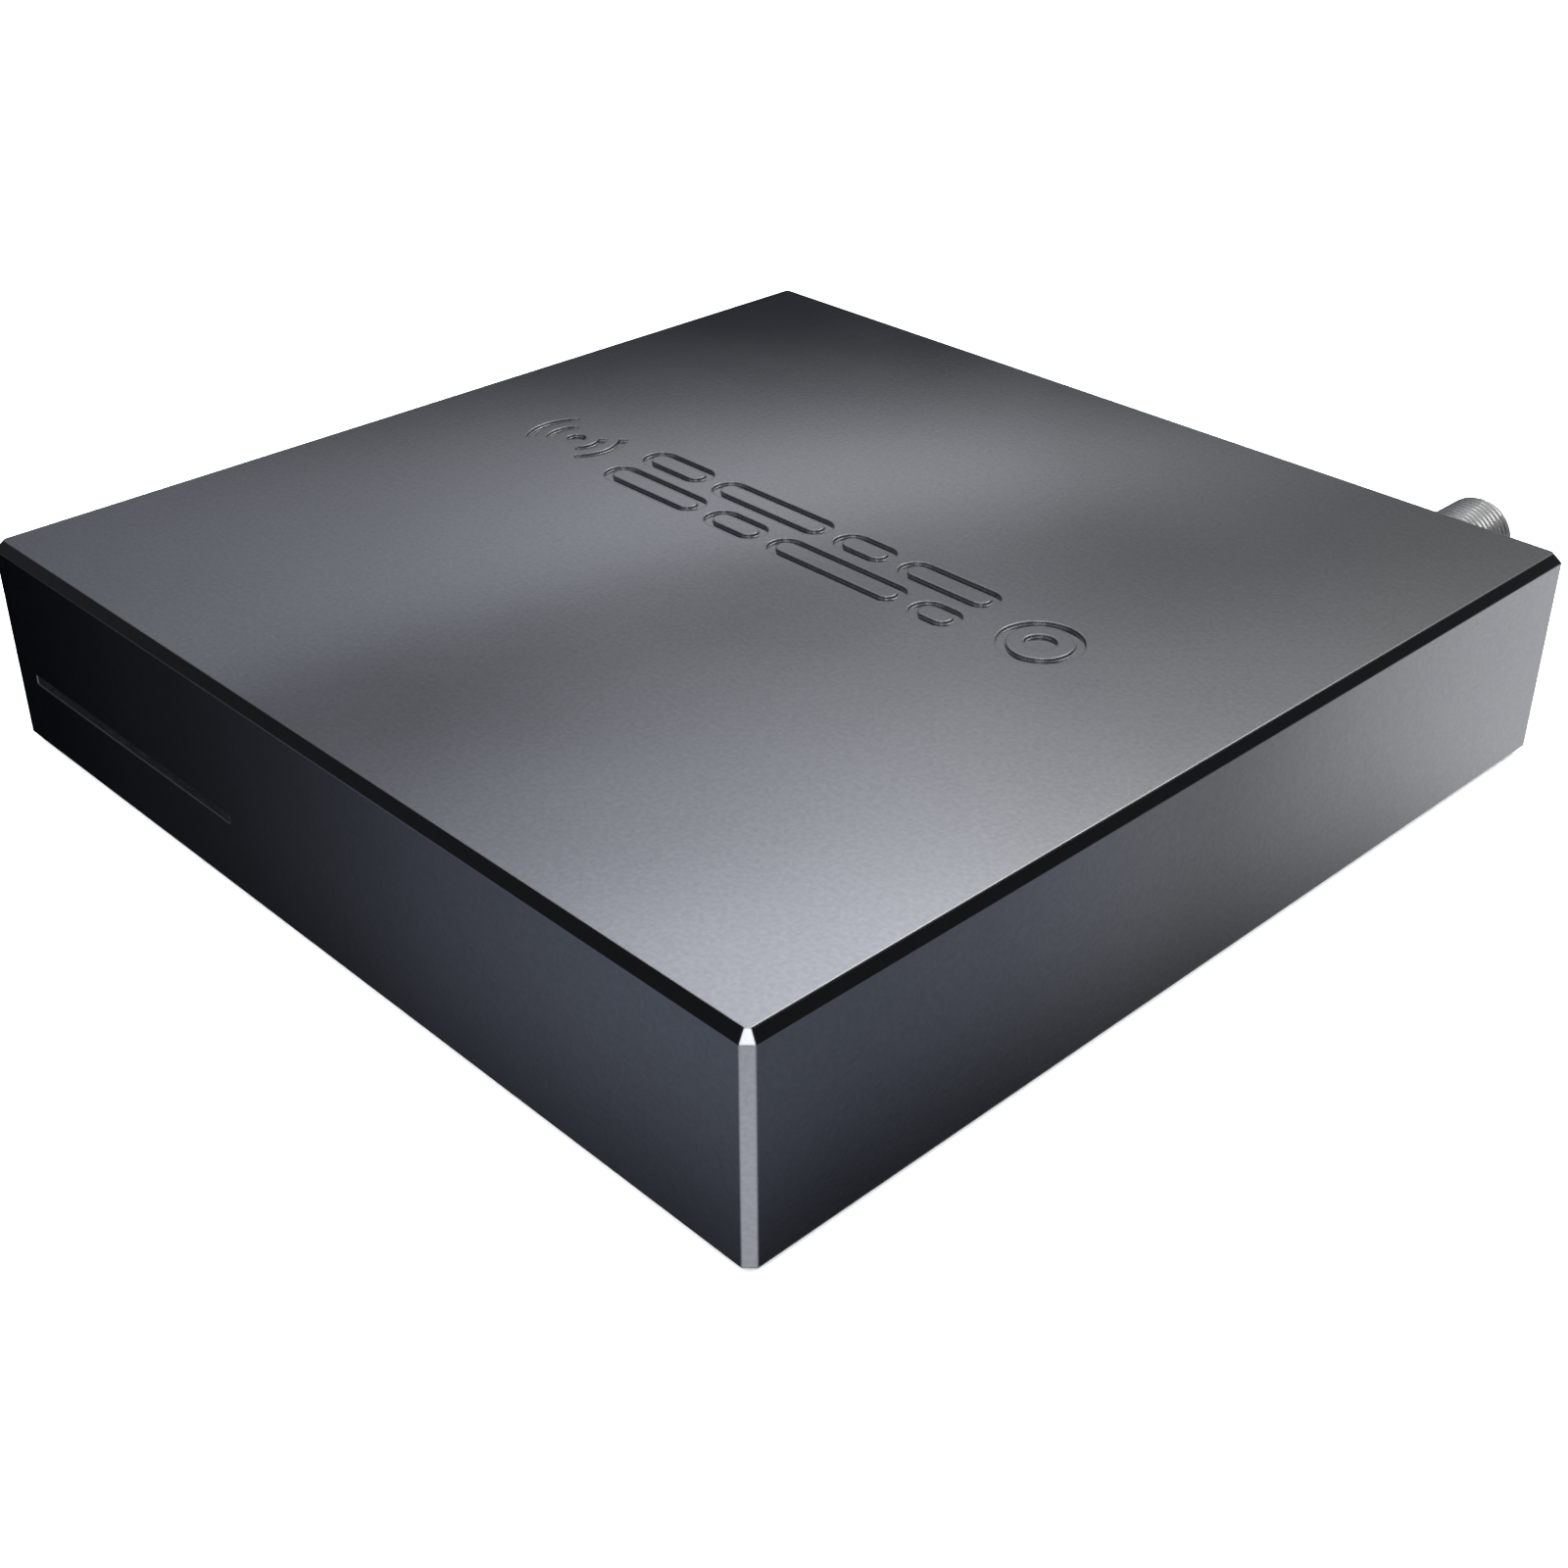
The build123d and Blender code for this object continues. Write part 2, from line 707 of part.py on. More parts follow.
with BuildPart() as heat_sink:
    with BuildSketch(level(sink_z)):
        with Locations(processor_place):
            Rectangle(sink_side, sink_side)
    extrude(amount=sink_plate)
    with BuildSketch(level(sink_z + sink_plate)):
        with Locations(processor_place):
            with GridLocations((sink_side - fin_thickness) / (fin_count - 1), 0, fin_count, 1):
                Rectangle(fin_thickness, sink_side)
    extrude(amount=fin_height)

heat_sink.part.label = "heat_sink"
export_step(heat_sink.part, "parts/heat_sink.step")

capacitor_height = 10.5

with BuildPart() as capacitors:
    with BuildSketch(level(board_top)):
        with Locations((-51.0, 33.5), (-51.0, 42.5), (-51.0, 51.5)):
            Circle(4.0)
    extrude(amount=capacitor_height)
    fillet(capacitors.edges().group_by(Axis.Z)[-1], 0.5)

capacitors.part.label = "capacitors"
export_step(capacitors.part, "parts/capacitors.step")

with BuildPart() as power_coils:
    with BuildSketch(level(board_top)):
        with Locations((-40.0, 31.5), (-40.0, 40.5)):
            RectangleRounded(7.0, 7.0, 1.0)
    extrude(amount=3.6)
    with BuildSketch(level(board_top + 3.2)):
        with Locations((-40.0, 31.5), (-40.0, 40.5)):
            Circle(2.6)
            Circle(2.1, mode=Mode.SUBTRACT)
    extrude(amount=0.4, mode=Mode.SUBTRACT)

power_coils.part.label = "power_coils"
export_step(power_coils.part, "parts/power_coils.step")

with BuildPart() as tuner_shield:
    with BuildSketch(level(board_top)):
        with Locations(tuner_place):
            Rectangle(tuner_length, tuner_breadth)
    extrude(amount=tuner_height)
    fillet(tuner_shield.edges().filter_by(Axis.Z), 0.8)
    with BuildSketch(level(board_top)):
        with Locations(tuner_place):
            Rectangle(tuner_length - 0.6, tuner_breadth - 0.6)
    extrude(amount=tuner_height - 0.3, mode=Mode.SUBTRACT)
    with BuildSketch(level(board_top + tuner_height)):
        with Locations(tuner_place):
            with GridLocations(4.0, 4.0, 3, 4):
                Circle(0.7)
    extrude(amount=-0.3, mode=Mode.SUBTRACT)

tuner_shield.part.label = "tuner_shield"
export_step(tuner_shield.part, "parts/tuner_shield.step")

with BuildPart() as status_leds:
    with BuildSketch(level(board_top)):
        with Locations(*[(led_x, -57.1) for led_x in (-49.0, -40.0, -31.0, -22.0)]):
            Rectangle(3.0, 1.6)
    extrude(amount=1.5)

status_leds.part.label = "status_leds"
export_step(status_leds.part, "parts/status_leds.step")

# ------------------------------------------------------------------ drive bracket
mount_span_y = 61.72
mount_near_x = drive_x + drive_length / 2 - 14.0
mount_far_x = mount_near_x - 76.6
drive_mount_places = [
    (mount_x, drive_y + side * mount_span_y / 2)
    for mount_x in (mount_near_x, mount_far_x)
    for side in (-1, 1)
]
grommet_neck = 2.4

with BuildPart() as drive_bracket:
    with BuildSketch(level(bracket_z)):
        with Locations((mount_near_x / 2 + mount_far_x / 2, drive_y)):
            Rectangle(86.0, 70.0)
            RectangleRounded(60.0, 46.0, 4.0, mode=Mode.SUBTRACT)
        with Locations(*support_places):
            Circle(3.4)
        for support_x, support_y in support_places:
            ear_y = (support_y + drive_y) / 2
            with Locations((support_x, ear_y)):
                Rectangle(6.8, abs(support_y - drive_y))
        with Locations(*support_places):
            Circle(hole_radius, mode=Mode.SUBTRACT)
        with Locations(*drive_mount_places):
            Circle(grommet_neck + 0.05, mode=Mode.SUBTRACT)
    extrude(amount=bracket_thickness)

drive_bracket.part.label = "drive_bracket"
export_step(drive_bracket.part, "parts/drive_bracket.step")

with BuildPart() as bracket_posts:
    with BuildSketch(level(board_top)):
        with Locations(*support_places):
            Circle(spacer_radius)
            Circle(hole_radius, mode=Mode.SUBTRACT)
    extrude(amount=post_height)

bracket_posts.part.label = "bracket_posts"
export_step(bracket_posts.part, "parts/bracket_posts.step")

bracket_screws = pan_head_screws(support_places, bracket_top, 6.8)
bracket_screws.part.label = "bracket_screws"
export_step(bracket_screws.part, "parts/bracket_screws.step")

with BuildPart() as drive_grommets:
    with BuildSketch(level(bracket_z - grommet_flange)):
        with Locations(*drive_mount_places):
            Circle(3.6)
    extrude(amount=grommet_flange)
    with BuildSketch(level(bracket_z)):
        with Locations(*drive_mount_places):
            Circle(grommet_neck)
    extrude(amount=bracket_thickness)
    with BuildSketch(level(bracket_top)):
        with Locations(*drive_mount_places):
            Circle(3.6)
    extrude(amount=grommet_flange)
    with BuildSketch(level(bracket_z - grommet_flange)):
        with Locations(*drive_mount_places):
            Circle(1.55)
    extrude(amount=2 * grommet_flange + bracket_thickness, mode=Mode.SUBTRACT)

drive_grommets.part.label = "drive_grommets"
export_step(drive_grommets.part, "parts/drive_grommets.step")

drive_screw_head = 0.9
drive_screw_engagement = 1.6

with BuildPart() as drive_mounting_screws:
    with BuildSketch(level(bracket_z - grommet_flange - drive_screw_head)):
        with Locations(*drive_mount_places):
            Circle(2.6)
            RegularPolygon(1.1, 6, mode=Mode.SUBTRACT)
    extrude(amount=drive_screw_head)
    with BuildSketch(level(bracket_z - grommet_flange)):
        with Locations(*drive_mount_places):
            Circle(1.45)
    extrude(amount=2 * grommet_flange + bracket_thickness + drive_screw_engagement)

drive_mounting_screws.part.label = "drive_mounting_screws"
export_step(drive_mounting_screws.part, "parts/drive_mounting_screws.step")

# ------------------------------------------------------------------ hard drive
# Levels inside the drive, from its underside up.
drive_floor_z = drive_z + 2.2
drive_lid_z = drive_top - 0.6
recess_depth = 1.2
disc_z = drive_z + 4.0
disc_thickness = 0.8
disc_top = disc_z + disc_thickness

# The disc, the arm's pivot and the swing between the parked and the innermost track.
disc_radius = 32.5
pocket_margin = 0.8
spindle_x = drive_x - 15.1
spindle_y = drive_y
pivot_x = spindle_x + 41.1
pivot_y = spindle_y - 9.0
arm_length = 34.0
parked_radius = 33.9
pivot_span = math.hypot(pivot_x - spindle_x, pivot_y - spindle_y)
parked_offset = math.degrees(
    math.acos(
        (pivot_span**2 + arm_length**2 - parked_radius**2) / (2 * pivot_span * arm_length)
    )
)
spindle_bearing = math.degrees(math.atan2(spindle_y - pivot_y, spindle_x - pivot_x))
parked_angle = spindle_bearing - parked_offset
coil_angle = parked_angle + 180.0
swing_range = 32.0


def around_pivot(radius, angle):
    """Point at a radius and an angle in degrees about the arm's pivot."""
    turn = math.radians(angle)
    return (pivot_x + radius * math.cos(turn), pivot_y + radius * math.sin(turn))


cavity_half = drive_width / 2 - 2.0
drive_end_x = drive_x + drive_length / 2
drive_screw_inset = 2.6
lid_screw_engagement = 1.5
screw_reach_x = drive_length / 2 - drive_screw_inset
screw_reach_y = drive_width / 2 - drive_screw_inset
drive_screw_places = [
    (drive_x + end * screw_reach_x, drive_y + side * screw_reach_y)
    for end in (-1, 1)
    for side in (-1, 1)
]
connector_half = 20.5
connector_y = drive_y + 12.4
notch_x = drive_end_x - 6.6
notch_top = drive_z + 4.6
end_wall = 2.2
magnet_bay = 23.0

with BuildPart() as drive_base:
    with BuildSketch(level(drive_z)):
        with Locations((drive_x, drive_y)):
            RectangleRounded(drive_length, drive_width, 2.0)
    extrude(amount=drive_lid_z - drive_z)
    with BuildSketch(level(drive_floor_z)):
        with Locations((spindle_x, spindle_y)):
            Circle(disc_radius + pocket_margin)
        with Locations(((spindle_x + 20.0 + notch_x - 2.0) / 2, drive_y)):
            RectangleRounded(notch_x - 2.0 - spindle_x - 20.0, 2 * cavity_half, 3.0)
        with Locations((pivot_x, drive_y - cavity_half)):
            RectangleRounded(
                drive_end_x - end_wall - pivot_x, magnet_bay, 5.0, align=(Align.MIN, Align.MIN)
            )
    extrude(amount=drive_lid_z - drive_floor_z, mode=Mode.SUBTRACT)
    with BuildSketch(level(drive_z)):
        with Locations((drive_x + 24.0, drive_y)):
            RectangleRounded(40.0, 52.0, 2.0)
    extrude(amount=recess_depth, mode=Mode.SUBTRACT)
    with BuildSketch(level(drive_z)):
        with Locations(((notch_x + drive_end_x) / 2, connector_y)):
            Rectangle(drive_end_x - notch_x, 2 * connector_half + 0.6)
    extrude(amount=notch_top - drive_z, mode=Mode.SUBTRACT)
    with BuildSketch(level(drive_z)):
        with Locations(*drive_mount_places):
            Circle(1.5)
    extrude(amount=1.8, mode=Mode.SUBTRACT)
    with BuildSketch(level(drive_lid_z)):
        with Locations(*drive_screw_places):
            Circle(0.8)
    extrude(amount=-(lid_screw_engagement + 0.2), mode=Mode.SUBTRACT)

drive_base.part.label = "drive_base"
export_step(drive_base.part, "parts/drive_base.step")

with BuildPart() as drive_cover:
    with BuildSketch(level(drive_lid_z)):
        with Locations((drive_x, drive_y)):
            RectangleRounded(drive_length - 0.6, drive_width - 0.6, 2.0)
        with Locations(*drive_screw_places):
            Circle(0.95, mode=Mode.SUBTRACT)
        with Locations((pivot_x, pivot_y)):
            Circle(0.95, mode=Mode.SUBTRACT)
    extrude(amount=drive_top - drive_lid_z - 0.1)
    with BuildSketch(level(drive_top - 0.1)):
        with Locations((spindle_x, spindle_y)):
            Circle(disc_radius - 1.0)
            Circle(disc_radius - 4.0, mode=Mode.SUBTRACT)
    extrude(amount=-0.2, mode=Mode.SUBTRACT)

drive_cover.part.label = "drive_cover"
export_step(drive_cover.part, "parts/drive_cover.step")

lid_screw_places = drive_screw_places + [(pivot_x, pivot_y)]

with BuildPart() as drive_cover_screws:
    with BuildSketch(level(drive_lid_z - lid_screw_engagement)):
        with Locations(*lid_screw_places):
            Circle(0.75)
    extrude(amount=drive_top - 0.1 - drive_lid_z + lid_screw_engagement)
    with BuildSketch(level(drive_top - 0.1)):
        with Locations(*lid_screw_places):
            Circle(1.7)
            RegularPolygon(0.7, 6, mode=Mode.SUBTRACT)
    extrude(amount=0.5)

drive_cover_screws.part.label = "drive_cover_screws"
export_step(drive_cover_screws.part, "parts/drive_cover_screws.step")

with BuildPart() as drive_board:
    with BuildSketch(level(drive_z + 0.2)):
        with Locations((drive_x + 24.0, drive_y)):
            RectangleRounded(39.0, 51.0, 2.0)
    extrude(amount=0.8)

drive_board.part.label = "drive_board"
export_step(drive_board.part, "parts/drive_board.step")

# ------------------------------------------------------------------ drive connector
tongue_gap = 0.25
socket_x = drive_end_x + 0.5
nose_length = 3.0
tongue_z = drive_z + 2.9

with BuildPart() as drive_connector:
    with BuildSketch(level(drive_z + 0.2)):
        with Locations(((notch_x + drive_end_x) / 2 + 0.2, connector_y)):
            Rectangle(drive_end_x - notch_x - 0.6, 2 * connector_half)
    extrude(amount=notch_top - drive_z - 0.5)
    with BuildSketch(facing_right(drive_end_x)):
        with Locations((connector_y, tongue_z)):
            Rectangle(36.0 + 2 * tongue_gap, 1.2 + 2 * tongue_gap)
    extrude(amount=-4.0, mode=Mode.SUBTRACT)

drive_connector.part.label = "drive_connector"
export_step(drive_connector.part, "parts/drive_connector.step")

with BuildPart() as sata_socket:
    with BuildSketch(level(board_top)):
        with Locations((socket_x + 2.4, connector_y)):
            Rectangle(4.8, 2 * connector_half)
    extrude(amount=tongue_z + 2.0 - board_top)
    with BuildSketch(facing_right(socket_x)):
        with Locations((connector_y, tongue_z)):
            Rectangle(36.0, 1.2)
    extrude(amount=-nose_length)

sata_socket.part.label = "sata_socket"
export_step(sata_socket.part, "parts/sata_socket.step")

# ------------------------------------------------------------------ spindle and disc
post_radius = 2.0
hub_bore = post_radius + 0.06
hub_low = drive_floor_z + 0.5
hub_high = disc_top + 0.8
disc_bore = 10.0

with BuildPart() as spindle_post:
    with BuildSketch(level(drive_floor_z)):
        with Locations((spindle_x, spindle_y)):
            Circle(post_radius)
    extrude(amount=drive_lid_z - 0.4 - drive_floor_z)

spindle_post.part.label = "spindle_post"
export_step(spindle_post.part, "parts/spindle_post.step")

stator_radius = 8.2

with BuildPart() as spindle_stator:
    with BuildSketch(level(drive_floor_z)):
        with Locations((spindle_x, spindle_y)):
            Circle(stator_radius)
            Circle(4.0, mode=Mode.SUBTRACT)
            with PolarLocations(7.0, 9):
                Rectangle(3.2, 1.4, mode=Mode.SUBTRACT)
    extrude(amount=1.7)

spindle_stator.part.label = "spindle_stator"
export_step(spindle_stator.part, "parts/spindle_stator.step")

with BuildPart() as spindle_hub:
    with BuildSketch(level(hub_low)):
        with Locations((spindle_x, spindle_y)):
            Circle(12.5)
    extrude(amount=disc_z - hub_low)
    with BuildSketch(level(disc_z)):
        with Locations((spindle_x, spindle_y)):
            Circle(disc_bore)
    extrude(amount=hub_high - disc_z)
    with BuildSketch(level(hub_low)):
        with Locations((spindle_x, spindle_y)):
            Circle(stator_radius + 0.4)
            Circle(3.5, mode=Mode.SUBTRACT)
    extrude(amount=1.6, mode=Mode.SUBTRACT)
    with BuildSketch(level(hub_low)):
        with Locations((spindle_x, spindle_y)):
            Circle(hub_bore)
    extrude(amount=hub_high - hub_low, mode=Mode.SUBTRACT)

spindle_hub.part.label = "spindle_hub"
export_step(spindle_hub.part, "parts/spindle_hub.step")

with BuildPart() as platter:
    with BuildSketch(level(disc_z)):
        with Locations((spindle_x, spindle_y)):
            Circle(disc_radius)
            Circle(disc_bore, mode=Mode.SUBTRACT)
    extrude(amount=disc_thickness)
    chamfer(platter.edges().filter_by(GeomType.CIRCLE).sort_by(SortBy.RADIUS)[-2:], 0.12)

platter.part.label = "platter"
export_step(platter.part, "parts/platter.step")

clamp_hole_radius = 7.0

with BuildPart() as platter_clamp:
    with BuildSketch(level(hub_high)):
        with Locations((spindle_x, spindle_y)):
            Circle(12.0)
            Circle(3.2, mode=Mode.SUBTRACT)
            with PolarLocations(clamp_hole_radius, 3):
                Circle(0.85, mode=Mode.SUBTRACT)
            with PolarLocations(clamp_hole_radius, 3, start_angle=60):
                Circle(1.3, mode=Mode.SUBTRACT)
    extrude(amount=0.35)
    with BuildSketch(level(disc_top)):
        with Locations((spindle_x, spindle_y)):
            Circle(12.0)
            Circle(disc_bore + 0.2, mode=Mode.SUBTRACT)
    extrude(amount=hub_high - disc_top)

platter_clamp.part.label = "platter_clamp"
export_step(platter_clamp.part, "parts/platter_clamp.step")

with BuildPart() as clamp_screws:
    with BuildSketch(level(hub_high)):
        with Locations((spindle_x, spindle_y)):
            with PolarLocations(clamp_hole_radius, 3):
                Circle(0.8)
    extrude(amount=0.35)
    with BuildSketch(level(hub_high + 0.35)):
        with Locations((spindle_x, spindle_y)):
            with PolarLocations(clamp_hole_radius, 3):
                Circle(1.3)
                RegularPolygon(0.55, 6, mode=Mode.SUBTRACT)
    extrude(amount=0.2)

clamp_screws.part.label = "clamp_screws"
export_step(clamp_screws.part, "parts/clamp_screws.step")

# ------------------------------------------------------------------ head arm
pivot_radius = 3.0
barrel_radius = 6.2
arm_thickness = 0.7
arm_gap = 0.5
upper_arm_z = disc_top + arm_gap
lower_arm_z = disc_z - arm_gap - arm_thickness
coil_thickness = 1.0
coil_z = disc_z + (disc_thickness - coil_thickness) / 2
coil_inner = 7.2
coil_outer = 17.4
coil_half_angle = 20.0
carrier_rim = 1.3


def coil_outline(grow):
    """Rounded fan outline of the coil about the pivot, grown outwards by grow."""
    with BuildSketch(level(coil_z)) as outline:
        with BuildLine():
            Polyline(
                around_pivot(coil_inner, coil_angle - coil_half_angle),
                around_pivot(coil_outer, coil_angle - coil_half_angle),
                around_pivot(coil_outer, coil_angle + coil_half_angle),
                around_pivot(coil_inner, coil_angle + coil_half_angle),
                close=True,
            )
        make_face()
        fillet(outline.vertices(), 1.2)
        if grow:
            offset(amount=grow)
    return outline.sketch


with BuildPart() as actuator_arm:
    for arm_z in (lower_arm_z, upper_arm_z):
        with BuildSketch(level(arm_z)):
            with Locations((pivot_x, pivot_y)):
                Circle(barrel_radius)
            with Locations(around_pivot(arm_length + 4.0, parked_angle)):
                Circle(0.8)
            make_hull()
            with Locations(around_pivot(15.0, parked_angle)):
                Circle(1.9, mode=Mode.SUBTRACT)
            with Locations(around_pivot(21.5, parked_angle)):
                Circle(1.3, mode=Mode.SUBTRACT)
        extrude(amount=arm_thickness)
    extrude(coil_outline(carrier_rim), amount=coil_thickness)
    extrude(coil_outline(0.05), amount=coil_thickness, mode=Mode.SUBTRACT)
    with BuildSketch(level(lower_arm_z)):
        with Locations((pivot_x, pivot_y)):
            Circle(barrel_radius)
    extrude(amount=upper_arm_z + arm_thickness - lower_arm_z)
    with BuildSketch(level(lower_arm_z)):
        with Locations((pivot_x, pivot_y)):
            Circle(pivot_radius + 0.06)
    extrude(amount=upper_arm_z + arm_thickness - lower_arm_z, mode=Mode.SUBTRACT)

actuator_arm.part.label = "actuator_arm"
export_step(actuator_arm.part, "parts/actuator_arm.step")

with BuildPart() as actuator_coil:
    extrude(coil_outline(0), amount=coil_thickness)
    extrude(coil_outline(-2.3), amount=coil_thickness, mode=Mode.SUBTRACT)

actuator_coil.part.label = "actuator_coil"
export_step(actuator_coil.part, "parts/actuator_coil.step")

head_thickness = 0.2

with BuildPart() as read_heads:
    for head_z in (upper_arm_z - head_thickness, lower_arm_z + arm_thickness):
        with BuildSketch(level(head_z)):
            with Locations(around_pivot(arm_length, parked_angle)):
                Rectangle(1.3, 1.0, rotation=parked_angle)
        extrude(amount=head_thickness)

read_heads.part.label = "read_heads"
export_step(read_heads.part, "parts/read_heads.step")

with BuildPart() as actuator_pivot:
    with BuildSketch(level(drive_floor_z)):
        with Locations((pivot_x, pivot_y)):
            Circle(pivot_radius)
    extrude(amount=drive_lid_z - drive_floor_z)
    with BuildSketch(level(drive_lid_z)):
        with Locations((pivot_x, pivot_y)):
            Circle(0.8)
    extrude(amount=-(lid_screw_engagement + 0.2), mode=Mode.SUBTRACT)

actuator_pivot.part.label = "actuator_pivot"
export_step(actuator_pivot.part, "parts/actuator_pivot.step")

# ------------------------------------------------------------------ voice-coil magnets
magnet_inner = 8.0
magnet_outer = 20.6
magnet_post = 1.2
magnet_margin = 24.0
magnet_from = coil_angle - magnet_margin
magnet_to = coil_angle + swing_range + magnet_margin


def magnet_fan(inner, outer, start, end):
    """Fan-shaped outline about the pivot, between two radii and two angles."""
    with BuildSketch(level(drive_floor_z), mode=Mode.PRIVATE) as fan:
        with BuildLine():
            inner_arc = CenterArc((pivot_x, pivot_y), inner, start, end - start)
            outer_arc = CenterArc((pivot_x, pivot_y), outer, start, end - start)
            Line(inner_arc @ 0, outer_arc @ 0)
            Line(inner_arc @ 1, outer_arc @ 1)
        make_face()
    return fan.sketch


magnet_plate = 1.0
post_angle = 5.0

with BuildPart() as voice_coil_magnets:
    plate = magnet_fan(magnet_inner, magnet_outer, magnet_from, magnet_to)
    extrude(plate, amount=magnet_plate)
    extrude(plate.moved(Location((0, 0, 3.2))), amount=magnet_plate)
    extrude(
        magnet_fan(magnet_outer - magnet_post, magnet_outer, magnet_from, magnet_from + post_angle),
        amount=3.2 + magnet_plate,
    )
    extrude(
        magnet_fan(magnet_outer - magnet_post, magnet_outer, magnet_to - post_angle, magnet_to),
        amount=3.2 + magnet_plate,
    )

voice_coil_magnets.part.label = "voice_coil_magnets"
export_step(voice_coil_magnets.part, "parts/voice_coil_magnets.step")

# ------------------------------------------------------------------ parking ramp
ramp_bearing = math.degrees(
    math.atan2(
        around_pivot(arm_length + 2.5, parked_angle)[1] - spindle_y,
        around_pivot(arm_length + 2.5, parked_angle)[0] - spindle_x,
    )
)
ramp_inner = disc_radius + 0.7
ramp_outer = disc_radius + 11.0
ramp_plane = Plane(
    origin=(spindle_x, shell_y + spindle_y, drive_floor_z),
    x_dir=(math.cos(math.radians(ramp_bearing)), math.sin(math.radians(ramp_bearing)), 0),
    z_dir=(0, 0, 1),
)

with BuildPart() as load_ramp:
    with BuildSketch(ramp_plane.offset(disc_z - drive_floor_z - 0.05)):
        with Locations(((ramp_inner + ramp_outer) / 2, 0)):
            Rectangle(ramp_outer - ramp_inner, 4.0)
    extrude(amount=disc_thickness + 0.1)
    with BuildSketch(ramp_plane):
        with Locations((ramp_outer - 1.2, 0)):
            Rectangle(2.4, 4.0)
    extrude(amount=disc_z - drive_floor_z)

load_ramp.part.label = "load_ramp"
export_step(load_ramp.part, "parts/load_ramp.step")
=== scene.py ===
import json
import math

import bmesh
import bpy
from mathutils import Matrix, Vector


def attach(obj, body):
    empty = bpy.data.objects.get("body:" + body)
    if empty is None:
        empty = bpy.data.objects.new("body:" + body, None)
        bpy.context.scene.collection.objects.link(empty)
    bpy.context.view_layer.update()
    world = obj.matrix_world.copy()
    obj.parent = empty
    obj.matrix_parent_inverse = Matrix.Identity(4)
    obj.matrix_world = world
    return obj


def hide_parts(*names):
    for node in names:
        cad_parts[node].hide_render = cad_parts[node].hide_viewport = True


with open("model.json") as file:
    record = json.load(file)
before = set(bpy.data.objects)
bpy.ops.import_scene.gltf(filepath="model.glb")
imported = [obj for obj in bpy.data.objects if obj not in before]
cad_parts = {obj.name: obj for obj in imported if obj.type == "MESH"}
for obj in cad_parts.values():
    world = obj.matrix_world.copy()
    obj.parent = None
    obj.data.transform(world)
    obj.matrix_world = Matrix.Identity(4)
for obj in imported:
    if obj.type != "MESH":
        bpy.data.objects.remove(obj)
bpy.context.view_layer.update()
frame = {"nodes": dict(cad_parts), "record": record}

MM = 0.001

# Places and sizes in millimetres.
SHELL_MIDDLE_Y = -8.25
SHELL_EDGE_RADIUS = 0.28
SPINDLE = (-20.1, SHELL_MIDDLE_Y - 15.0)
JACK_MIDDLE_X = 16.0
LABEL_BORDER = (24.6, 10.6)


# ------------------------------------------------------------------ node helpers
class Graph:
    """Adds and links nodes in one node tree."""

    def __init__(self, tree):
        self.nodes = tree.nodes
        self.links = tree.links
        self.nodes.clear()

    def add(self, kind, inputs=None, **settings):
        node = self.nodes.new(kind)
        for name, value in settings.items():
            setattr(node, name, value)
        for key, value in (inputs or {}).items():
            self.put(node.inputs[key], value)
        return node

    def put(self, socket, value):
        """Links an output to socket, or sets the socket's own value."""
        if isinstance(value, bpy.types.NodeSocket):
            self.links.new(value, socket)
        else:
            socket.default_value = value

    def math(self, operation, a, b=0.0):
        return self.add("ShaderNodeMath", {0: a, 1: b}, operation=operation).outputs[0]

    def mean(self, a, b):
        return self.math("MULTIPLY", self.math("ADD", a, b), 0.5)

    def vector(self, operation, a, b=(0.0, 0.0, 0.0)):
        node = self.add("ShaderNodeVectorMath", {0: a, 1: b}, operation=operation)
        return node.outputs["Value" if operation in ("DOT_PRODUCT", "LENGTH") else "Vector"]

    def remap(self, value, old, new, smooth=False):
        node = self.add(
            "ShaderNodeMapRange",
            {"Value": value, "From Min": old[0], "From Max": old[1], "To Min": new[0], "To Max": new[1]},
            interpolation_type="SMOOTHSTEP" if smooth else "LINEAR",
        )
        return node.outputs["Result"]

    def blend(self, share, a, b):
        """Colour a where share is 0, b where it is 1."""
        node = self.add("ShaderNodeMix", data_type="RGBA")
        for socket, value in ((0, share), (6, a), (7, b)):
            self.put(node.inputs[socket], value)
        return node.outputs[2]


def rgb(red, green, blue):
    return (red, green, blue, 1.0)


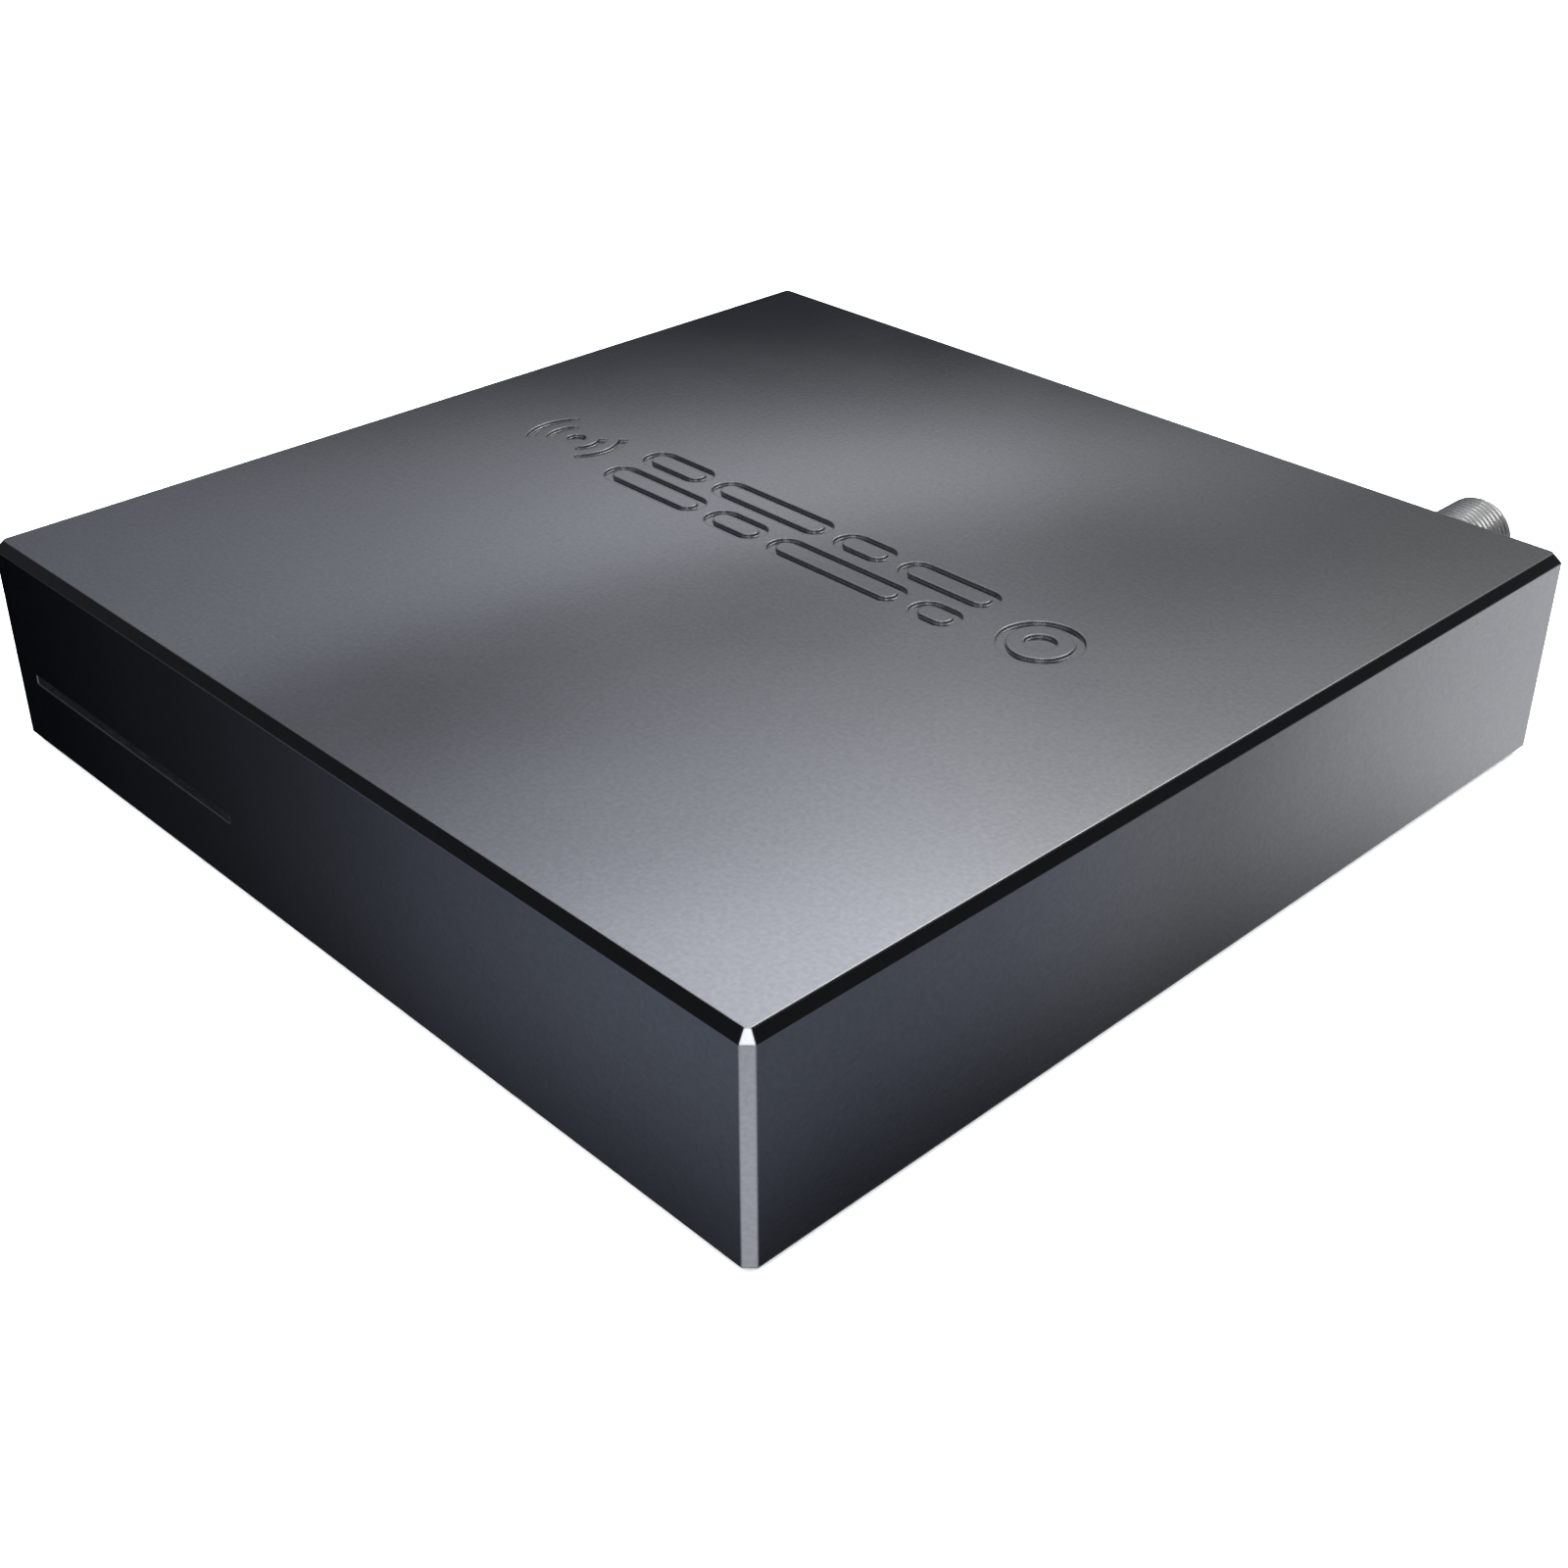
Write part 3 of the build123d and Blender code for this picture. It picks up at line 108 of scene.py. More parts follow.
class Surface(Graph):
    """A Principled material whose textures are measured in millimetres of the object."""

    def __init__(self, name):
        self.material = bpy.data.materials.new(name)
        self.material.use_nodes = True
        super().__init__(self.material.node_tree)
        self.shader = self.add("ShaderNodeBsdfPrincipled")
        output = self.add("ShaderNodeOutputMaterial")
        self.links.new(self.shader.outputs["BSDF"], output.inputs["Surface"])
        self.coordinates = self.add("ShaderNodeTexCoord")
        self.place = self.vector("MULTIPLY", self.coordinates.outputs["Object"], (1000.0,) * 3)

    def set(self, **values):
        for name, value in values.items():
            self.put(self.shader.inputs[name.replace("_", " ")], value)

    def noise(self, size, detail=2.0, stretch=(1.0, 1.0, 1.0), roughness=0.5, shift=0.0):
        """Noise whose blobs are about size mm across, longer along an axis whose stretch is over 1."""
        squeeze = tuple(1.0 / factor for factor in stretch)
        where = self.vector("MULTIPLY", self.place, squeeze)
        if shift:
            where = self.vector("ADD", where, (shift,) * 3)
        node = self.add(
            "ShaderNodeTexNoise",
            {"Vector": where, "Scale": 1.0 / size, "Detail": detail, "Roughness": roughness},
        )
        return node.outputs["Fac"]

    def cells(self, size, output="Distance", randomness=1.0):
        node = self.add(
            "ShaderNodeTexVoronoi",
            {"Vector": self.place, "Scale": 1.0 / size, "Randomness": randomness},
        )
        return node.outputs[output]

    def bump(self, height, depth, strength=1.0, under=None):
        """depth is the height in mm that a full swing of the texture stands for."""
        node = self.add("ShaderNodeBump", {"Height": height, "Distance": depth * MM, "Strength": strength})
        if under is not None:
            self.put(node.inputs["Normal"], under)
        return node.outputs["Normal"]

    def soft_edges(self, radius):
        """A normal that rounds sharp edges by radius mm."""
        return self.add("ShaderNodeBevel", {"Radius": radius * MM}, samples=4).outputs["Normal"]

    def edge_mask(self, rounded):
        """1 along the edges that the normal rounded softens, 0 elsewhere."""
        flat = self.add("ShaderNodeNewGeometry").outputs["True Normal"]
        near = self.vector("DOT_PRODUCT", rounded, flat)
        return self.remap(near, (0.995, 0.90), (0.0, 1.0))


# ------------------------------------------------------------------ materials
def plain_surface(
    name,
    dark,
    light,
    metallic=0.0,
    rough=(0.4, 0.5),
    patch=6.0,
    grain=0.4,
    depth=0.01,
    stretch=(1.0, 1.0, 1.0),
    wear=None,
    edge=0.12,
    **constants,
):
    """Colour drifts between dark and light over patches, grain gives bump and roughness, and edges wear
    to a lighter tone."""
    s = Surface(name)
    broad = s.noise(patch, 4.0, stretch)
    fine = s.noise(grain, 3.0, stretch, 0.6)
    tone = s.math("ADD", s.math("MULTIPLY", broad, 0.65), s.math("MULTIPLY", fine, 0.35))
    colour = s.blend(s.remap(tone, (0.32, 0.68), (0.0, 1.0)), rgb(*dark), rgb(*light))
    rounded = s.soft_edges(edge)
    if wear:
        worn = s.remap(broad, (0.4, 0.62), (0.15, 0.9))
        scuffs = s.math("MULTIPLY", s.edge_mask(rounded), worn)
        colour = s.blend(scuffs, colour, rgb(*wear))
    s.set(
        Base_Color=colour,
        Metallic=metallic,
        Roughness=s.remap(s.mean(broad, fine), (0.3, 0.7), rough),
        Normal=s.bump(fine, depth, 1.0, rounded),
        **constants,
    )
    return s.material


def shell_metal():
    """Dark gunmetal, finely blasted and anodised: a satin sheen over a faint grain. The chamfers round
    the lid are painted near-black as shade, standing in for the dark surroundings they mirror."""
    s = Surface("shell_metal")
    cloud = s.noise(30.0, 3.0)
    grain = s.noise(0.55, 3.0, roughness=0.6)
    speck = s.noise(0.26, 1.0, shift=40.0)
    tone = s.math("ADD", s.math("MULTIPLY", cloud, 0.35), s.math("MULTIPLY", grain, 0.65))
    share = s.remap(tone, (0.35, 0.65), (0.0, 1.0))
    body = s.blend(share, rgb(0.185, 0.189, 0.200), rgb(0.222, 0.226, 0.238))
    rounded = s.soft_edges(SHELL_EDGE_RADIUS)
    worn = s.remap(cloud, (0.42, 0.6), (0.05, 0.3))
    scuffs = s.math("MULTIPLY", s.edge_mask(rounded), worn)
    body = s.blend(scuffs, body, rgb(0.34, 0.345, 0.36))
    # A chamfer faces up and sideways by the same amount. The corner facets face two sides at once.
    facing = s.add("ShaderNodeSeparateXYZ", {0: s.coordinates.outputs["Normal"]}).outputs
    sideways = s.math("MAXIMUM", s.math("ABSOLUTE", facing["X"]), s.math("ABSOLUTE", facing["Y"]))
    slope = math.sqrt(0.5)
    off_slope = [s.math("ABSOLUTE", s.math("SUBTRACT", part, slope)) for part in (facing["Z"], sideways)]
    from_chamfer = s.math("ADD", *off_slope)
    # Painted shade: the chamfers' colour is taken down to near-black, standing in for the dark surroundings
    # they mirror.
    chamfer_painted_shade = s.remap(from_chamfer, (0.05, 0.08), (0.88, 0.0))
    body = s.blend(chamfer_painted_shade, body, rgb(0.0, 0.0, 0.0))
    under = s.bump(grain, 0.0015, 1.0, rounded)
    s.set(
        Base_Color=body,
        Metallic=1.0,
        Roughness=s.remap(s.math("ADD", cloud, speck), (0.7, 1.3), (0.075, 0.110)),
        Normal=s.bump(speck, 0.0007, 1.0, under),
    )
    return s.material


def circuit_board():
    """Green solder mask over etched tracks, with small plated holes."""
    s = Surface("circuit_board")
    eighth_turn = (0.0, 0.0, math.radians(45))
    turned = s.add("ShaderNodeMapping", {"Vector": s.place, "Rotation": eighth_turn}).outputs[0]
    blocks = s.cells(9.0, output="Color")
    choice = s.add("ShaderNodeSeparateColor", {0: blocks}).outputs[0]
    across, along, slanted = (
        s.add("ShaderNodeTexWave", {"Vector": where, "Scale": 0.55}, bands_direction=run).outputs["Fac"]
        for where, run in ((s.place, "X"), (s.place, "Y"), (turned, "X"))
    )
    first = s.blend(s.math("GREATER_THAN", choice, 0.4), across, along)
    lines = s.blend(s.math("GREATER_THAN", choice, 0.75), first, slanted)
    tracks = s.remap(lines, (0.62, 0.72), (0.0, 1.0))
    holes = s.remap(s.cells(2.6, randomness=0.8), (0.12, 0.10), (0.0, 1.0))
    mask = s.noise(5.0, 3.0)
    base = s.blend(mask, rgb(0.012, 0.085, 0.045), rgb(0.020, 0.115, 0.060))
    base = s.blend(tracks, base, rgb(0.030, 0.190, 0.095))
    base = s.blend(holes, base, rgb(0.62, 0.56, 0.38))
    s.set(
        Base_Color=base,
        Metallic=holes,
        Roughness=s.remap(mask, (0.3, 0.7), (0.26, 0.36)),
        Normal=s.bump(tracks, 0.03, 0.8, s.bump(s.noise(0.5), 0.004)),
        Coat_Weight=0.3,
        Coat_Roughness=0.15,
    )
    return s.material


def turned_metal(name, centre, tone, rough, pitch, depth):
    """Metal with fine rings round the vertical line through centre, in mm."""
    s = Surface(name)
    away = s.vector("SUBTRACT", s.place, (centre[0], centre[1], 0.0))
    radius = s.vector("LENGTH", s.vector("MULTIPLY", away, (1.0, 1.0, 0.0)))
    rings = s.add(
        "ShaderNodeTexNoise",
        {"W": s.math("DIVIDE", radius, pitch), "Scale": 1.0, "Detail": 3.0},
        noise_dimensions="1D",
    ).outputs["Fac"]
    cloud = s.noise(8.0)
    lighter = tuple(min(1.0, 1.12 * t) for t in tone)
    s.set(
        Base_Color=s.blend(s.mean(rings, cloud), rgb(*tone), rgb(*lighter)),
        Metallic=1.0,
        Roughness=s.remap(rings, (0.3, 0.7), rough),
        Normal=s.bump(rings, depth, 0.7),
    )
    return s.material


def wound_copper():
    """Enamelled wire laid in even turns, seen as fine ridges up the winding, with painted shade in the
    grooves between turns.
    """
    s = Surface("coil_copper")
    turns = s.add(
        "ShaderNodeTexWave",
        {"Vector": s.place, "Scale": 2.2, "Distortion": 0.6, "Detail": 1.0},
        bands_direction="Z",
    ).outputs["Fac"]
    cloud = s.noise(1.5, 3.0)
    colour = s.blend(cloud, rgb(0.50, 0.17, 0.07), rgb(0.78, 0.34, 0.15))
    # Painted shade: the grooves between turns are darkened towards deep brown.
    colour = s.blend(s.remap(turns, (0.0, 0.5), (0.75, 0.0)), colour, rgb(0.16, 0.05, 0.02))
    s.set(
        Base_Color=colour,
        Metallic=0.85,
        Roughness=s.remap(cloud, (0.3, 0.7), (0.25, 0.4)),
        Normal=s.bump(turns, 0.08, 0.8),
        Coat_Weight=0.5,
    )
    return s.material


def capacitor_sleeve():
    """Dark shrink sleeve with a pale stripe round the side, bare aluminium on top."""
    s = Surface("capacitor_sleeve")
    facing = s.add("ShaderNodeSeparateXYZ", {0: s.coordinates.outputs["Normal"]})
    top = s.remap(facing.outputs["Z"], (0.75, 0.9), (0.0, 1.0))
    stripe = s.remap(facing.outputs["X"], (0.86, 0.9), (0.0, 1.0))
    cloud = s.noise(1.6, 3.0)
    sleeve = s.blend(cloud, rgb(0.012, 0.018, 0.055), rgb(0.022, 0.032, 0.085))
    sleeve = s.blend(stripe, sleeve, rgb(0.30, 0.32, 0.36))
    bare = s.blend(cloud, rgb(0.55, 0.56, 0.57), rgb(0.74, 0.74, 0.75))
    s.set(
        Base_Color=s.blend(top, sleeve, bare),
        Metallic=top,
        Roughness=s.remap(cloud, (0.3, 0.7), (0.24, 0.38)),
        Normal=s.bump(s.noise(0.6), 0.02, 0.8),
    )
    return s.material


def jack_lights():
    """Two small light windows: the one at the lower X is green, the other amber."""
    s = Surface("jack_lights")
    across = s.add("ShaderNodeSeparateXYZ", {0: s.place}).outputs["X"]
    side = s.math("GREATER_THAN", across, JACK_MIDDLE_X)
    cloud = s.noise(0.8, 2.0)
    green = s.blend(cloud, rgb(0.050, 0.150, 0.045), rgb(0.075, 0.200, 0.065))
    amber = s.blend(cloud, rgb(0.240, 0.120, 0.015), rgb(0.310, 0.165, 0.025))
    s.set(
        Base_Color=s.blend(side, green, amber),
        Roughness=s.remap(cloud, (0.3, 0.7), (0.12, 0.24)),
        Normal=s.bump(cloud, 0.01, 0.6, s.soft_edges(0.15)),
        Coat_Weight=0.6,
    )
    return s.material


def label_film():
    """Silver polyester film with a printed border and nothing inside it."""
    s = Surface("label_film")
    place = s.add("ShaderNodeSeparateXYZ", {0: s.place}).outputs
    fine = s.noise(0.25, 2.0, (6.0, 1.0, 1.0))
    cloud = s.noise(9.0, 3.0)
    film = s.blend(s.mean(fine, cloud), rgb(0.47, 0.48, 0.50), rgb(0.60, 0.61, 0.63))
    across = s.math("ABSOLUTE", place["X"])
    along = s.math("ABSOLUTE", s.math("SUBTRACT", place["Y"], SHELL_MIDDLE_Y))
    past = [s.math("SUBTRACT", off, half) for off, half in zip((across, along), LABEL_BORDER)]
    from_border = s.math("ABSOLUTE", s.math("MAXIMUM", *past))
    line = s.remap(from_border, (0.22, 0.30), (1.0, 0.0))
    s.set(
        Base_Color=s.blend(line, film, rgb(0.035, 0.036, 0.04)),
        Metallic=0.35,
        Roughness=s.remap(cloud, (0.3, 0.7), (0.30, 0.42)),
        Normal=s.bump(cloud, 0.05, 0.5, s.bump(fine, 0.002)),
    )
    return s.material


MATERIALS = {
    "shell_metal": shell_metal(),
    "circuit_board": circuit_board(),
    "coil_copper": wound_copper(),
    "capacitor_sleeve": capacitor_sleeve(),
    "jack_lights": jack_lights(),
    "label_film": label_film(),
    "disc_mirror": turned_metal("disc_mirror", SPINDLE, (0.82, 0.82, 0.84), (0.04, 0.07), 0.25, 0.0002),
    "hub_metal": turned_metal("hub_metal", SPINDLE, (0.66, 0.66, 0.68), (0.16, 0.26), 0.18, 0.004),
    "tray_metal": plain_surface(
        "tray_metal", (0.026, 0.027, 0.030), (0.045, 0.046, 0.050),
        rough=(0.50, 0.62), patch=25.0, grain=0.55, depth=0.035, wear=(0.16, 0.16, 0.17),
    ),
    "panel_plastic": plain_surface(
        "panel_plastic", (0.012, 0.012, 0.013), (0.020, 0.020, 0.022),
        rough=(0.42, 0.54), patch=14.0, grain=0.30, depth=0.02, wear=(0.07, 0.07, 0.075),
    ),
    "light_window": plain_surface(
        "light_window", (0.0022, 0.0023, 0.0027), (0.0034, 0.0036, 0.0042),
        rough=(0.16, 0.24), patch=10.0, grain=1.2, depth=0.002, Specular_IOR_Level=0.2,
    ),
    "foot_rubber": plain_surface(
        "foot_rubber", (0.014, 0.014, 0.014), (0.032, 0.032, 0.031),
        rough=(0.72, 0.88), patch=3.0, grain=0.35, depth=0.04, edge=0.3, wear=(0.07, 0.07, 0.068),
    ),
    "black_screw": plain_surface(
        "black_screw", (0.022, 0.022, 0.024), (0.050, 0.050, 0.053), metallic=0.7,
        rough=(0.30, 0.44), patch=2.0, grain=0.25, depth=0.008, wear=(0.38, 0.37, 0.36),
    ),
    "plated_metal": plain_surface(
        "plated_metal", (0.31, 0.305, 0.29), (0.42, 0.415, 0.395), metallic=1.0,
        rough=(0.23, 0.35), patch=3.0, grain=0.30, depth=0.004, edge=0.05, wear=(0.62, 0.61, 0.59),
    ),
    "tin_plate": plain_surface(
        "tin_plate", (0.58, 0.58, 0.57), (0.74, 0.74, 0.73), metallic=1.0,
        rough=(0.22, 0.34), patch=5.0, grain=0.35, depth=0.008, stretch=(1.0, 5.0, 1.0),
        wear=(0.82, 0.82, 0.81),
    ),
    "ivory_plastic": plain_surface(
        "ivory_plastic", (0.36, 0.34, 0.29), (0.45, 0.43, 0.375),
        rough=(0.36, 0.46), patch=2.5, grain=0.4, depth=0.01,
        Subsurface_Weight=0.1, Subsurface_Radius=(0.001, 0.001, 0.0008),
    ),
    "gold_contact": plain_surface(
        "gold_contact", (0.78, 0.56, 0.22), (0.90, 0.70, 0.34), metallic=1.0,
        rough=(0.16, 0.26), patch=1.5, grain=0.2, depth=0.004, edge=0.05, wear=(0.95, 0.80, 0.48),
    ),
    "chip_plastic": plain_surface(
        "chip_plastic", (0.016, 0.016, 0.017), (0.034, 0.034, 0.036),
        rough=(0.50, 0.64), patch=5.0, grain=0.22, depth=0.015, wear=(0.08, 0.08, 0.085),
    ),
    "grey_plastic": plain_surface(
        "grey_plastic", (0.24, 0.24, 0.25), (0.33, 0.33, 0.34),
        rough=(0.42, 0.54), patch=1.5, grain=0.25, depth=0.012, wear=(0.45, 0.45, 0.46),
    ),
    "brass_spacer": plain_surface(
        "brass_spacer", (0.60, 0.42, 0.16), (0.76, 0.57, 0.26), metallic=1.0,
        rough=(0.20, 0.32), patch=2.5, grain=0.25, depth=0.01, stretch=(1.0, 1.0, 0.3),
        wear=(0.88, 0.72, 0.42),
    ),
    "steel_screw": plain_surface(
        "steel_screw", (0.52, 0.52, 0.53), (0.70, 0.70, 0.71), metallic=1.0,
        rough=(0.20, 0.34), patch=1.8, grain=0.22, depth=0.008, wear=(0.82, 0.82, 0.82),
    ),
    "pad_silicone": plain_surface(
        "pad_silicone", (0.26, 0.36, 0.50), (0.34, 0.45, 0.60),
        rough=(0.60, 0.75), patch=3.0, grain=0.35, depth=0.03,
        Subsurface_Weight=0.15, Subsurface_Radius=(0.001, 0.001, 0.001),
    ),
    "heat_sink_metal": plain_surface(
        "heat_sink_metal", (0.030, 0.030, 0.034), (0.060, 0.060, 0.066), metallic=0.8,
        rough=(0.34, 0.46), patch=6.0, grain=0.25, depth=0.012, stretch=(1.0, 6.0, 1.0),
        wear=(0.30, 0.30, 0.31),
    ),
    "coil_ferrite": plain_surface(
        "coil_ferrite", (0.075, 0.075, 0.078), (0.135, 0.135, 0.140),
        rough=(0.46, 0.60), patch=2.0, grain=0.3, depth=0.03, wear=(0.24, 0.24, 0.245),
    ),
    "led_lens": plain_surface(
        "led_lens", (0.72, 0.73, 0.68), (0.84, 0.85, 0.80),
        rough=(0.10, 0.18), patch=1.0, grain=0.3, depth=0.003, Coat_Weight=0.5, Subsurface_Weight=0.3,
        Subsurface_Radius=(0.001, 0.001, 0.001),
    ),
    "bracket_steel": plain_surface(
        "bracket_steel", (0.44, 0.46, 0.48), (0.60, 0.61, 0.62), metallic=1.0,
        rough=(0.26, 0.40), patch=7.0, grain=0.5, depth=0.012, wear=(0.74, 0.74, 0.75),
    ),
    "cast_metal": plain_surface(
        "cast_metal", (0.46, 0.47, 0.48), (0.60, 0.61, 0.62), metallic=1.0,
        rough=(0.32, 0.48), patch=4.0, grain=0.45, depth=0.05, wear=(0.76, 0.76, 0.77),
    ),
    "drive_lid_steel": plain_surface(
        "drive_lid_steel", (0.58, 0.58, 0.59), (0.72, 0.72, 0.73), metallic=1.0,
        rough=(0.22, 0.34), patch=12.0, grain=0.30, depth=0.006, stretch=(1.0, 12.0, 1.0),
        wear=(0.82, 0.82, 0.83),
    ),
}

slot_of = {part["node"]: part["material_slot"] for part in frame["record"]["subparts"]}

for name, obj in frame["nodes"].items():
    material = MATERIALS[slot_of[name]]
    if obj.material_slots:
        for place in obj.material_slots:
            place.material = material
    else:
        obj.data.materials.append(material)


# ------------------------------------------------------------------ aerial socket
# In millimetres, apart from the angle and the counts. The axis runs along Y.
AERIAL_X = 44.5
AERIAL_Z = 17.0
BLOCK_SIDE = 6.5
BLOCK_LOW = 6.8
BLOCK_HIGH = 23.0
BLOCK_CHAMFER = 1.2
BLOCK_FRONT_Y = 38.75
BLOCK_REAR_Y = 51.85
BORE_FLOOR_Y = 41.75
BORE_RADIUS = 3.4
CAP_RADIUS = 0.5 * BORE_RADIUS
ROOT_RADIUS = 4.3
CREST_RADIUS = 4.76
THREAD_START_Y = 58.55
THREAD_END_Y = 72.25
THREAD_PITCH = 25.4 / 32.0
THREAD_RUN_OUT = 0.8
TIP_CHAMFER = 0.4
MOUTH_CHAMFER = 0.15
PLAIN_LENGTH = 2.0
THREAD_FLAT = 0.12
SHARP_ANGLE = 38.0
TURN_STEPS = 96
ROWS_PER_PITCH = 10


def block_outline():
    """Corners of the socket's block about the bore's axis, counter-clockwise in (x, z)."""
    side, cut = BLOCK_SIDE, BLOCK_CHAMFER
    low, high = BLOCK_LOW - AERIAL_Z, BLOCK_HIGH - AERIAL_Z
    right = [(side, low), (side, high - cut), (side - cut, high)]
    return right + [(-x, z) for x, z in reversed(right)]


def reach(corners, angle):
    """Distance from the axis to the outline at this angle."""
    ray = (math.cos(angle), math.sin(angle))
    best = None
    for (x0, z0), (x1, z1) in zip(corners, corners[1:] + corners[:1]):
        across = ray[0] * (z1 - z0) - ray[1] * (x1 - x0)
        if abs(across) < 1e-9:
            continue
        away = (x0 * (z1 - z0) - z0 * (x1 - x0)) / across
        along = (x0 * ray[1] - z0 * ray[0]) / across
        if away > 0.0 and -1e-6 <= along <= 1.0 + 1e-6:
            best = away if best is None else min(best, away)
    return best


def thread_radius(y, angle):
    """Radius of the helical thread. Its crests and roots are flat, it runs out at its start, and its
    tip is chamfered."""
    phase = (y - THREAD_START_Y) / THREAD_PITCH - angle / math.tau
    ridge = abs(2.0 * (phase % 1.0) - 1.0)
    ridge = min(1.0, max(0.0, (ridge - THREAD_FLAT) / (1.0 - 2.0 * THREAD_FLAT)))
    start = (y - THREAD_START_Y) / THREAD_RUN_OUT
    height = ridge * min(1.0, max(0.0, start))
    tip = max(0.0, y - (THREAD_END_Y - TIP_CHAMFER))
    return min(ROOT_RADIUS + (CREST_RADIUS - ROOT_RADIUS) * height, CREST_RADIUS - tip)


def even_ring(y, radius):
    """A ring of one radius, as the pair that threaded_socket takes: its y, and its radius by angle."""
    return y, lambda y, angle: radius


def threaded_socket():
    """The socket's block and threaded barrel as one closed mesh, made of rings round the bore's axis."""
    corners = block_outline()
    angles = {round(math.tau * k / TURN_STEPS, 6) for k in range(TURN_STEPS)}
    angles |= {round(math.atan2(z, x) % math.tau, 6) for x, z in corners}
    angles = sorted(angles)
    following = [*range(1, len(angles)), 0]
    rows = int((THREAD_END_Y - THREAD_START_Y) / THREAD_PITCH * ROWS_PER_PITCH)
    step = (THREAD_END_Y - THREAD_START_Y) / rows
    rings = [even_ring(BLOCK_FRONT_Y, CAP_RADIUS)]
    rings += [(y, lambda y, angle: reach(corners, angle)) for y in (BLOCK_FRONT_Y, BLOCK_REAR_Y)]
    plain = (BLOCK_REAR_Y, BLOCK_REAR_Y + PLAIN_LENGTH, THREAD_START_Y)
    rings += [even_ring(y, ROOT_RADIUS) for y in plain]
    rings += [(THREAD_START_Y + step * k, thread_radius) for k in range(1, rows + 1)]
    rings += [
        even_ring(THREAD_END_Y, BORE_RADIUS + MOUTH_CHAMFER),
        even_ring(THREAD_END_Y - MOUTH_CHAMFER, BORE_RADIUS),
        even_ring(BORE_FLOOR_Y, BORE_RADIUS),
        even_ring(BORE_FLOOR_Y, CAP_RADIUS),
    ]
    shape = bmesh.new()
    loops = []
    for y, radius in rings:
        loop = []
        for angle in angles:
            r = radius(y, angle)
            place = (AERIAL_X + r * math.cos(angle), y, AERIAL_Z + r * math.sin(angle))
            loop.append(shape.verts.new([c * MM for c in place]))
        loops.append(loop)
    for first, second in zip(loops, loops[1:]):
        for k, n in enumerate(following):
            shape.faces.new((first[k], first[n], second[n], second[k]))
    for loop, y in ((loops[0], BLOCK_FRONT_Y), (loops[-1], BORE_FLOOR_Y)):
        centre = shape.verts.new([c * MM for c in (AERIAL_X, y, AERIAL_Z)])
        for k, n in enumerate(following):
            shape.faces.new((loop[k], loop[n], centre))
    bmesh.ops.recalc_face_normals(shape, faces=shape.faces)
    mesh = bpy.data.meshes.new("aerial_socket")
    shape.to_mesh(mesh)
    shape.free()
    mesh.polygons.foreach_set("use_smooth", [True] * len(mesh.polygons))
    mesh.set_sharp_from_angle(angle=math.radians(SHARP_ANGLE))
    piece = bpy.data.objects.new("aerial_socket", mesh)
    bpy.context.collection.objects.link(piece)
    piece.data.materials.append(MATERIALS["plated_metal"])
    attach(piece, "housing")
    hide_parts("antenna_connector_body")


threaded_socket()


# ------------------------------------------------------------------ studio
def direction(azimuth, elevation):
    """Unit vector; azimuth turns from +X towards +Y, both in degrees."""
    a, e = math.radians(azimuth), math.radians(elevation)
    return Vector((math.cos(a) * math.cos(e), math.sin(a) * math.cos(e), math.sin(e)))


class Studio(Graph):
    """Light that comes from all round, as a sum of soft terms of one colour each."""

    def __init__(self, world):
        world.use_nodes = True
        super().__init__(world.node_tree)
        self.ray = self.add("ShaderNodeTexCoord").outputs["Generated"]
        parts = self.add("ShaderNodeSeparateXYZ", {0: self.ray})
        self.azimuth = self.math("DEGREES", self.math("ARCTAN2", parts.outputs["Y"], parts.outputs["X"]))
        self.elevation = self.math("DEGREES", self.math("ARCSINE", parts.outputs["Z"]))
        self.total = None

    def curve(self, value, points):
        """Smooth curve through (value, level) points, flat outside them."""
        first, last = points[0][0], points[-1][0]
        top = max(level for _, level in points)
        node = self.add("ShaderNodeFloatCurve", {"Value": self.remap(value, (first, last), (0.0, 1.0))})
        line = node.mapping.curves[0]
        for number, (at, level) in enumerate(points):
            spot = ((at - first) / (last - first), level / top)
            if number == 0:
                line.points[0].location = spot
            elif number == len(points) - 1:
                line.points[-1].location = spot
            else:
                line.points.new(*spot)
        node.mapping.update()
        return self.math("MULTIPLY", node.outputs["Value"], top)

    def light(self, level, colour):
        """Adds level times colour to the whole."""
        scaled = self.add("ShaderNodeVectorMath", {0: colour, "Scale": level}, operation="SCALE")
        scaled = scaled.outputs["Vector"]
        self.total = scaled if self.total is None else self.vector("ADD", self.total, scaled)

    def wall(self, heights, spread, colour):
        """A wall of light: one curve over elevation, times one over azimuth."""
        height = self.curve(self.elevation, heights)
        self.light(self.math("MULTIPLY", height, self.curve(self.azimuth, spread)), colour)

    def panel(self, azimuth, elevation, half, soft, level, colour):
        """A soft-edged rectangle of light. half and soft are (across, up) in degrees."""
        out = direction(azimuth, elevation)
        across = Vector((-math.sin(math.radians(azimuth)), math.cos(math.radians(azimuth)), 0.0))
        axes = (across, out.cross(across))
        depth = self.vector("DOT_PRODUCT", self.ray, tuple(out))
        shown = self.remap(depth, (0.05, 0.25), (0.0, level), smooth=True)
        safe = self.math("MAXIMUM", depth, 0.02)
        for axis, reach, blur in zip(axes, half, soft):
            offset = self.math("DIVIDE", self.vector("DOT_PRODUCT", self.ray, tuple(axis)), safe)
            edge = [math.tan(math.radians(max(0.0, reach + side * blur))) for side in (-1, 1)]
            share = self.remap(self.math("ABSOLUTE", offset), edge, (1.0, 0.0), smooth=True)
            shown = self.math("MULTIPLY", shown, share)
        self.light(shown, colour)

    def finish(self):
        background = self.add("ShaderNodeBackground", {"Color": self.total, "Strength": 1.0})
        output = self.add("ShaderNodeOutputWorld")
        self.links.new(background.outputs[0], output.inputs["Surface"])


